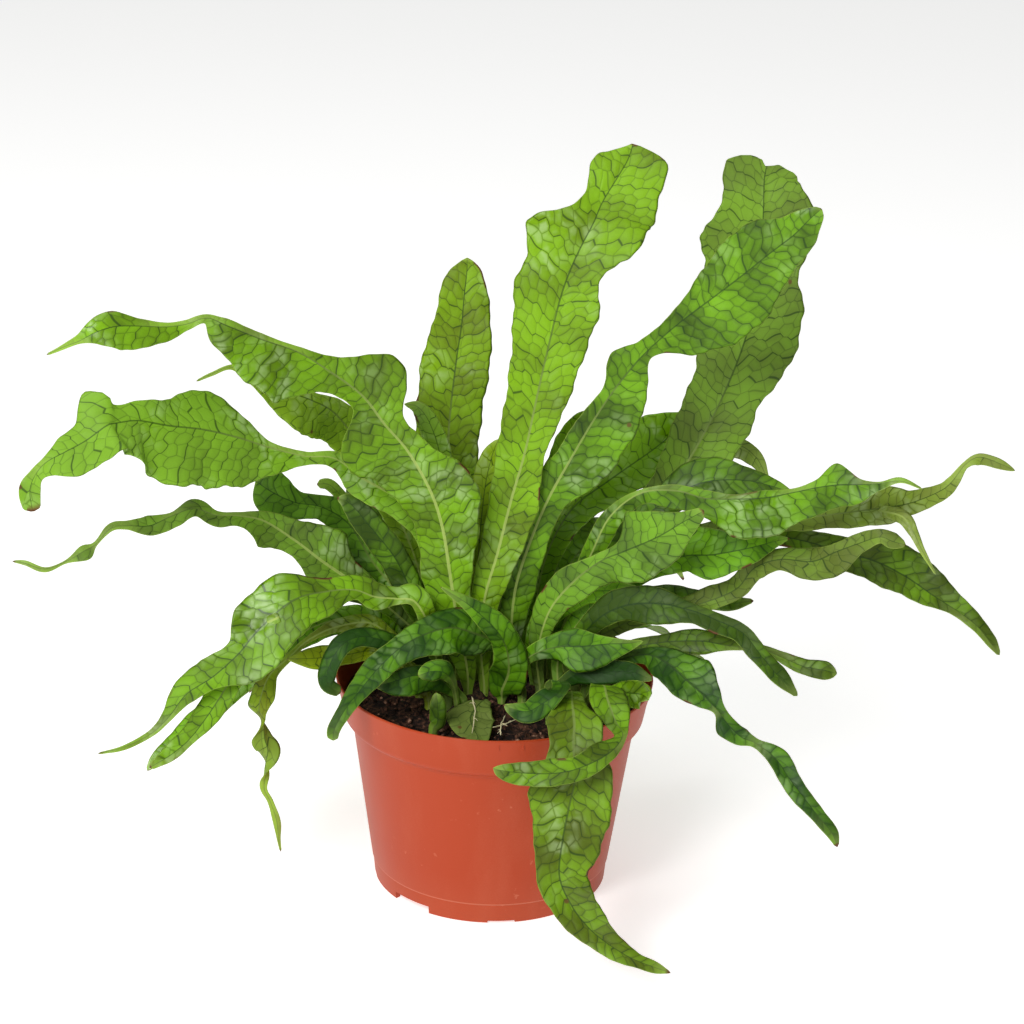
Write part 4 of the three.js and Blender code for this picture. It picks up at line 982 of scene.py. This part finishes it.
class FERN_OT_pot(bpy.types.Operator):
    """Adds the pot: a thin plastic shell with a rim band, a foot line, feet and drain holes"""

    bl_idname = "fern.pot"
    bl_label = "Pot"

    def execute(self, context):
        sizes = context.scene.fern_pot
        pot = wheel(POT_PROFILE, sizes.sides, "nursery_pot")
        for at, half, height in FOOT_NOTCHES:
            width = 2 * FOOT_RADIUS * math.sin(math.radians(half))
            notch = (NOTCH_DEPTH, width, height + BELOW_FOOT)
            for turn in range(0, 360, 90):
                cut(pot, block((NOTCH_RADIUS, 0, (height - BELOW_FOOT) / 2), notch, at + turn))
        for i in range(DRAIN_HOLES):
            bearing = math.radians(FOOT_NOTCHES[0][0] + 360 * i / DRAIN_HOLES)
            place = Vector((DRAIN_AT * math.cos(bearing), DRAIN_AT * math.sin(bearing), DRAIN_MIDDLE)) * MM
            bpy.ops.mesh.primitive_cylinder_add(
                vertices=DRAIN_SIDES, radius=DRAIN_RADIUS * MM, depth=DRAIN_DEPTH * MM, location=place)
            cut(pot, context.object)
        only(pot)
        bpy.ops.object.shade_smooth_by_angle(angle=math.radians(SHARP_ANGLE))
        for turn in (-TAB_HALF, TAB_HALF):
            add_tab_rib(pot, turn)
        pot.data.materials.clear()
        pot.data.materials.append(pot_material(sizes))
        settle(pot, "pot")
        return {"FINISHED"}


def peat_height(x, y):
    """Height of the peat's top at a place, without its crumbs."""
    return SOIL_MIDDLE - SOIL_FALL * (math.hypot(x, y) / SOIL_RADIUS) ** 2


def crumbly(x, y):
    """How far the peat's surface stands out of its even top."""
    lumps = noise.turbulence(Vector((x / 9, y / 9, 2.0)), 4, False) - 0.9
    near = noise.voronoi(Vector((x / 2.6, y / 2.6, 5.0)))[0][0]
    grit = noise.noise(Vector((x * 1.3, y * 1.3, 1.0)))
    return 1.5 * lumps + 1.3 * (0.4 - near) + 0.3 * grit


def swept(line, radius, sides, wobble=0.0, seed=0.0, taper=1.0):
    """Corners and faces of a closed round tube along a line of points."""
    points = curve(line)
    points = points[::3] if len(points) > 40 else points
    count = len(points)
    along = unit(np.gradient(points, axis=0))
    side = unit(np.cross(along, (0.02, 0.1, 1)))
    up = np.cross(side, along)
    corners = []
    for i, point in enumerate(points):
        u = i / (count - 1)
        thick = radius * (1 + (taper - 1) * u) * min(1, 0.35 + 8 * u, 0.35 + 8 * (1 - u))
        for angle in np.linspace(0, 2 * math.pi, sides, endpoint=False):
            bump = 1 + wobble * noise.noise(Vector((*(point[:2] / radius), angle + seed)))
            corners.append(point + thick * bump * (math.cos(angle) * side[i] + math.sin(angle) * up[i]))
    faces = []
    for start in range(0, (count - 1) * sides, sides):
        for j in range(sides):
            k = (j + 1) % sides
            faces.append((start + j, start + k, start + sides + k, start + sides + j))
    faces.append(tuple(range(sides))[::-1])
    faces.append(tuple((count - 1) * sides + j for j in range(sides)))
    return corners, faces


def crumb(rng, x, y, width):
    """Corners and faces of one loose crumb or flake, a small lumpy stone that lies on the peat."""
    bm = bmesh.new()
    bmesh.ops.create_icosphere(bm, subdivisions=1, radius=1)
    stretch = rng.uniform(0.5, 1.3, 3) * width
    turn = Matrix.Rotation(rng.uniform(0, 6.28), 3, "Z") @ Matrix.Rotation(rng.uniform(-0.8, 0.8), 3, "X")
    corners = []
    for vertex in bm.verts:
        lump = vertex.co * rng.uniform(0.75, 1.15)
        corners.append(turn @ Vector([a * b for a, b in zip(lump, stretch)]) + Vector((x, y, 0)))
    faces = [tuple(v.index for v in face.verts) for face in bm.faces]
    bm.free()
    height = peat_height(x, y) + crumbly(x, y) + 0.2 * width
    return [c + Vector((0, 0, height)) for c in corners], faces


def clear_of(stalks, x, y, room):
    """Whether a place is farther than the room from every stalk."""
    return all((x - a) ** 2 + (y - b) ** 2 > room ** 2 for a, b in stalks)


def rough_top(peat):
    """Raises and lowers the corners of the peat's top by its lumps and grit, less so close to the rim."""
    for vertex in peat.data.vertices:
        x, y, z = vertex.co / MM
        if z > SOIL_RIM - 0.5:
            edge = min(1, (SOIL_RADIUS - math.hypot(x, y)) / 3)
            vertex.co.z = (peat_height(x, y) + crumbly(x, y) * edge) * MM


def loose_crumbs(sizes, stalks, rng):
    """Crumbs scattered over the peat, clear of the stalks."""
    shapes = []
    while len(shapes) < sizes.crumbs:
        x, y = rng.uniform(-CRUMB_REACH, CRUMB_REACH, 2)
        width = sizes.crumb_size / MM * rng.choice(CRUMB_SIZES, p=CRUMB_SHARES)
        if math.hypot(x, y) < CRUMB_REACH - width and clear_of(stalks, x, y, STALK_ROOM + width):
            shapes.append(crumb(rng, x, y, width))
    return shapes


def short_fibres(sizes, stalks, rng):
    """Short bowed fibres that lie on the peat, clear of the stalks."""
    shapes = []
    while len(shapes) < sizes.fibres:
        x, y = rng.uniform(-FIBRE_SPREAD, FIBRE_SPREAD, 2)
        reach = rng.uniform(2, 6)
        angle = rng.uniform(0, 6.28)
        if math.hypot(x, y) < FIBRE_REACH and clear_of(stalks, x, y, FIBRE_ROOM):
            line = []
            for k in (-1, -0.3, 0.4, 1):
                px = x + k * reach * math.cos(angle)
                py = y + k * reach * math.sin(angle) + FIBRE_BOW * k * k
                height = peat_height(px, py) + crumbly(px, py) + FIBRE_LIFT - 0.4 * k * k
                line.append((px, py, height))
            shapes.append(swept(line, FIBRE_RADIUS, 4))
    return shapes


def damp_peat(sizes):
    """Damp dark peat, a little browner where it is coarse."""
    n = Nodes("damp_peat", specular_ior_level=0.2)
    spots = n.spots()
    grain = n.clouds(spots, 420, 5, 0.65)
    clumps = n.clouds(spots, 90, 3)
    base = n.mix((1.6 * grain + clumps - 1).step(0.1, 0.7), sizes.dark, sizes.brown)
    n.feed(base_color=base, roughness=0.85 + 0.15 * grain, normal=n.bump(grain, 0.9, 0.0012))
    return n.material


def dry_crumbs(sizes):
    """The drier brown and tan of the loose crumbs and fibres."""
    n = Nodes("dry_crumbs", specular_ior_level=0.2)
    spots = n.spots()
    kinds = n.clouds(spots, 330, 2)
    base = n.mix(kinds.step(0.42, 0.6), sizes.dark, sizes.brown)
    base = n.mix(kinds.step(0.6, 0.72), base, sizes.tan)
    rough = 0.8 + 0.2 * n.cells(spots, 260)
    n.feed(base_color=base, roughness=rough, normal=n.bump(n.clouds(spots, 1500, 3), 0.6, 0.0004))
    return n.material


class FERN_OT_peat(bpy.types.Operator):
    """Adds the peat with its crumbly top, loose crumbs, bark bits and fibres"""

    bl_idname = "fern.peat"
    bl_label = "Peat"

    def execute(self, context):
        sizes = context.scene.fern_peat
        rings = [SOIL_RADIUS * (1 - i / (SOIL_RINGS + 2)) for i in range(SOIL_RINGS)]
        top = [(radius, peat_height(radius, 0)) for radius in rings]
        peat = wheel((*SOIL_PROFILE, *top), SOIL_SIDES, "peat_fill")
        rough_top(peat)
        peat.data.materials.append(damp_peat(sizes))
        dry = dry_crumbs(sizes)
        rng = np.random.default_rng(PEAT_SEED)
        stalks = [frond["root"] for frond in FRONDS]
        loose = mesh_object("peat_crumbs", *gathered(loose_crumbs(sizes, stalks, rng)), material=dry)
        strands = mesh_object("peat_fibres", *gathered(short_fibres(sizes, stalks, rng)), material=dry)
        only(peat)
        bpy.ops.object.shade_smooth()
        loose.select_set(True)
        strands.select_set(True)
        bpy.ops.object.join()
        settle(peat, "soil")
        return {"FINISHED"}


def stem_scales(rng):
    """Furry scales all along the upper side of the creeping stem, each a thin pointed wedge."""
    wedge = [(0, 2, 3), (2, 1, 3), (1, 0, 3), (0, 1, 2)]
    scales = []
    for line in STEM_BRANCHES:
        path = curve(line)
        for _ in range(STEM_SCALES):
            i = rng.integers(3, len(path) - 3)
            ahead = unit(path[i + 1] - path[i - 1])
            side = unit(np.cross(ahead, (0, 0, 1.0)))
            angle = rng.uniform(0.1, math.pi - 0.1)
            out = math.cos(angle) * side + math.sin(angle) * np.cross(side, ahead)
            foot = path[i] + out * STEM_RADIUS * 0.93
            lean = unit(out * 0.5 + ahead * rng.uniform(0.4, 1.2) + side * rng.uniform(-0.4, 0.4))
            tip = foot + lean * rng.uniform(1.5, 3.2)
            wide = np.cross(lean, out) * rng.uniform(0.25, 0.5)
            scales.append(([foot - wide, foot + wide, foot + out * 0.3, tip], wedge))
    return scales


def stem_material(sizes):
    """Brown fuzz over dark bark."""
    n = Nodes("stem_scales", roughness=0.9)
    fuzz = n.clouds(n.spots(), 700, 4)
    n.feed(base_color=n.mix(fuzz.step(0.35, 0.65), sizes.dark, sizes.stem), normal=n.bump(fuzz, 0.8, 0.0008))
    return n.material


def root_material(sizes):
    """Dry straw with darker knots."""
    n = Nodes("dry_root_bark", roughness=0.75)
    knots = n.clouds(n.spots(), 500, 3)
    n.feed(base_color=n.mix(knots.step(0.5, 0.9), sizes.straw, sizes.tan), normal=n.bump(knots, 0.5, 0.0003))
    return n.material


def wavy(line, k):
    """The same line with small kinks between its points."""
    points = curve(line)[::6]
    for i in range(1, len(points) - 1):
        points[i] += ROOT_KINK * np.array([math.sin(2.1 * i + k), math.cos(1.7 * i), 0.3 * math.sin(3 * i)])
    return points


def twigs(line, rng):
    """A few fine side roots of a dry root."""
    points = curve(line)
    found = []
    for _ in range(TWIGS):
        start = points[rng.integers(6, len(points) - 6)]
        way = np.array([*rng.uniform(-1, 1, 2), 0.0])
        found.append([start, start + 1.6 * way, start + 3 * way + (0, 0, -0.6)])
    return found


class FERN_OT_stem(bpy.types.Operator):
    """Adds the creeping stem with its furry scales, and the dry roots"""

    bl_idname = "fern.stem"
    bl_label = "Stem and dry roots"

    def execute(self, context):
        sizes = context.scene.fern_peat
        rng = np.random.default_rng(STEM_SEED)
        shapes = []
        for k, line in enumerate(STEM_BRANCHES):
            shapes.append(swept(line, STEM_RADIUS, STEM_SIDES, STEM_WOBBLE, k))
        shapes += stem_scales(rng)
        stem = mesh_object("creeping_stem", *gathered(shapes), material=stem_material(sizes))
        settle(stem, "rhizome")
        bark = root_material(sizes)
        for name, lines in DRY_ROOTS.items():
            tubes = []
            for k, line in enumerate(lines):
                tubes.append(swept(wavy(line, k), ROOT_RADIUS, ROOT_SIDES, ROOT_WOBBLE, k, taper=0.55))
            for line in lines:
                for twig in twigs(line, rng):
                    tubes.append(swept(twig, TWIG_RADIUS, TWIG_SIDES, ROOT_WOBBLE, 1, taper=0.5))
            root = mesh_object(f"straw_{name}", *gathered(tubes), material=bark)
            settle(root, name)
        return {"FINISHED"}


def vein_marks(to_side, to_cross, main, broad):
    """How much of a vein each spot is, and millimetres to the nearest, with a fine one counted farther."""
    side_line = (1 - to_side.step(0.08, 0.34)) * (0.5 + 0.5 * main)
    cross_line = (1 - to_cross.step(0.05, 0.26)) * 0.45
    return most(side_line, cross_line) * broad, least(to_side + 0.5 * (1 - main), to_cross + 0.6)


def rib_over(n, tints, green, across, half, share, light):
    """The green with the midrib drawn over it, which is pale low down on a light frond and dark elsewhere."""
    low = (1 - share.step(0.25, 0.6)) * light.step(0.1, 0.6)
    width = (0.3 + 0.75 * (1 - share) ** 2) * (0.55 + 0.45 * half.step(4, 12))
    rib = 1 - (size(across) / width).step(0.8, 1.15)
    return n.mix(rib * (0.65 + 0.1 * low), green, n.mix(low, tints.vein, tints.rib))


def dry_marks(n, spots, patch, share, edge, broad):
    """How brown each spot is: dry tips, burnt margins and small specks."""
    dry = (share + 0.03 * (n.clouds(spots, 120) - 0.5)).step(0.985, 0.998) * above(patch, 0.47)
    speck = (1 - n.cells(spots, 55).step(0.05, 0.09)) * above(n.clouds(spots, 21), 0.6)
    burnt = (1 - edge.step(0.4, 1.5)) * n.clouds(spots, 60, 1).step(0.68, 0.72) * broad
    return most(most(dry, burnt), speck * 0.8)


def leaf_material(tints):
    """Green leather with dark net veins, pale edges, a rib that is pale low down and a painted whitish sheen
    on the raised cells.
    """
    n = Nodes("fern_leaf", specular_ior_level=0.24)
    across, along, half = n.read("blade")
    t, share, face = n.read("place")
    light, yellow, grey = n.read("looks")
    to_side, to_cross, cell, main = vein_net(across, along)
    spots = n.spots()
    upper = above(face, 0.5)
    broad = half.step(1.5, 4.5)
    vein, near_vein = vein_marks(to_side, to_cross, main, broad)
    patch = n.clouds(spots, 38, 3)
    grain = n.clouds(spots, 900, 2)
    gloss = n.clouds(spots, 26, 2).step(0.46, 0.68) * upper * light.step(-0.2, 0.6)
    # Painted sheen: pale whitish colour on the raised middles of the glossy cells, painted in as the lamps'
    # highlights.
    painted_sheen = gloss * near_vein.step(0.1, 1.6) * n.clouds(spots, 120, 2).step(0.42, 0.66)
    halo = (1 - near_vein.step(0.1, 2)) * broad
    # The tone follows each frond's lightness, which partly paints the shade or light that falls on it.
    tone = light + 0.22 * cell + 1.5 * (patch - 0.5) - 0.2 * halo + 0.15 * (grain - 0.5)
    edge = half * (1 - size(t))
    green = n.mix(tone.step(-0.3, 1.3), tints.dark, tints.light)
    green = n.mix(yellow, green, tints.yellow)
    green = n.mix(least(grey + 0.3 * (1 - upper), 1), green, tints.under)
    green = n.mix(painted_sheen * 0.36, green, tints.painted_sheen)
    green = n.mix(vein * 0.75, green, tints.vein)
    green = rib_over(n, tints, green, across, half, share, light)
    green = n.mix((1 - broad) * 0.25, green, tints.rib)
    green = n.mix((1 - edge.step(0.1, 0.5)) * 0.5, green, tints.edge)
    green = n.mix(dry_marks(n, spots, patch, share, edge, broad), green, tints.brown)
    relief = 0.5 * near_vein.step(0, 2.2) - 0.1 * vein + 0.05 * grain
    n.feed(base_color=green, roughness=0.56 - 0.3 * gloss, normal=n.bump(relief, 0.38, 0.0006))
    return n.material


class FERN_OT_fronds(bpy.types.Operator):
    """Adds the fronds, each a thin quilted blade with its midrib and net of veins"""

    bl_idname = "fern.fronds"
    bl_label = "Fronds"

    def execute(self, context):
        leaf = leaf_material(context.scene.fern_fronds)
        back = [back_frond(*row, k) for k, row in enumerate(BACK_FRONDS)]
        for number, frond in enumerate([*FRONDS, *back], 1):
            name = f"frond_{number:02d}"
            piece = mesh_object(f"fern_{name}", *whole_frond(frond, number), leaf)
            settle(piece, name)
        return {"FINISHED"}


def pale_floor():
    """The plain pale floor."""
    bpy.ops.object.select_all(action="DESELECT")
    bpy.ops.mesh.primitive_plane_add(size=FLOOR_SIZE, location=(0, 0, -FLOOR_DROP))
    ground = bpy.context.object
    ground.name = "floor"
    bpy.ops.object.transform_apply(location=True)
    white = colour("f6f6f5")
    paper = Nodes(
        "pale_floor", base_color=white, roughness=0.9, emission_color=white, emission_strength=FLOOR_GLOW)
    ground.data.materials.append(paper.material)


def soft_light(scene):
    """A white sky and the soft lamps."""
    world = bpy.data.worlds.new("studio")
    world.use_nodes = True
    sky = world.node_tree.nodes["Background"]
    sky.inputs[0].default_value = (1, 1, 1, 1)
    sky.inputs[1].default_value = SKY_LIGHT
    scene.world = world
    for name, place, width, power in LAMPS:
        light = bpy.data.lights.new(name, "AREA")
        light.size = width
        light.energy = power
        lamp = bpy.data.objects.new(name, light)
        scene.collection.objects.link(lamp)
        lamp.location = place
        lamp.rotation_euler = (Vector(LAMPS_AIM) - Vector(place)).to_track_quat("-Z", "Y").to_euler()


def photo_camera(scene):
    """The camera at the photo's place and angle."""
    lens = bpy.data.cameras.new("photo_view")
    lens.sensor_width = CAMERA_SENSOR
    lens.lens = CAMERA_LENS
    camera = bpy.data.objects.new("photo_view", lens)
    scene.collection.objects.link(camera)
    axes = Matrix((CAMERA_RIGHT, CAMERA_UP, [-v for v in CAMERA_FORWARD])).transposed().to_4x4()
    camera.matrix_world = Matrix.Translation(Vector(CAMERA_PLACE) * MM) @ axes
    scene.camera = camera
    scene.view_settings.view_transform = "Standard"


class FERN_OT_stage(bpy.types.Operator):
    """Adds the floor, the soft studio light and the camera"""

    bl_idname = "fern.stage"
    bl_label = "Stage"

    def execute(self, context):
        pale_floor()
        soft_light(context.scene)
        photo_camera(context.scene)
        return {"FINISHED"}


class FERN_PT_panel(bpy.types.Panel):
    """The fern's sizes, colours and building steps"""

    bl_idname = "FERN_PT_panel"
    bl_label = "Fern"
    bl_space_type = "VIEW_3D"
    bl_region_type = "UI"
    bl_category = "Fern"

    def draw(self, context):
        for group in (context.scene.fern_pot, context.scene.fern_peat, context.scene.fern_fronds):
            for name in group.__annotations__:
                self.layout.prop(group, name)
        for step in ("pot", "peat", "stem", "fronds", "stage"):
            self.layout.operator(f"fern.{step}")


classes = (
    PotSizes, PeatSizes, FrondTints,
    FERN_OT_pot, FERN_OT_peat, FERN_OT_stem, FERN_OT_fronds, FERN_OT_stage, FERN_PT_panel,
)


def register():
    for item in classes:
        bpy.utils.register_class(item)
    bpy.types.Scene.fern_pot = PointerProperty(type=PotSizes)
    bpy.types.Scene.fern_peat = PointerProperty(type=PeatSizes)
    bpy.types.Scene.fern_fronds = PointerProperty(type=FrondTints)


def unregister():
    del bpy.types.Scene.fern_fronds
    del bpy.types.Scene.fern_peat
    del bpy.types.Scene.fern_pot
    for item in reversed(classes):
        bpy.utils.unregister_class(item)


def main():
    """Adds every piece and the stage."""
    register()
    bpy.ops.fern.pot()
    bpy.ops.fern.peat()
    bpy.ops.fern.stem()
    bpy.ops.fern.fronds()
    bpy.ops.fern.stage()
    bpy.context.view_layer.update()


if __name__ == "__main__":
    main()
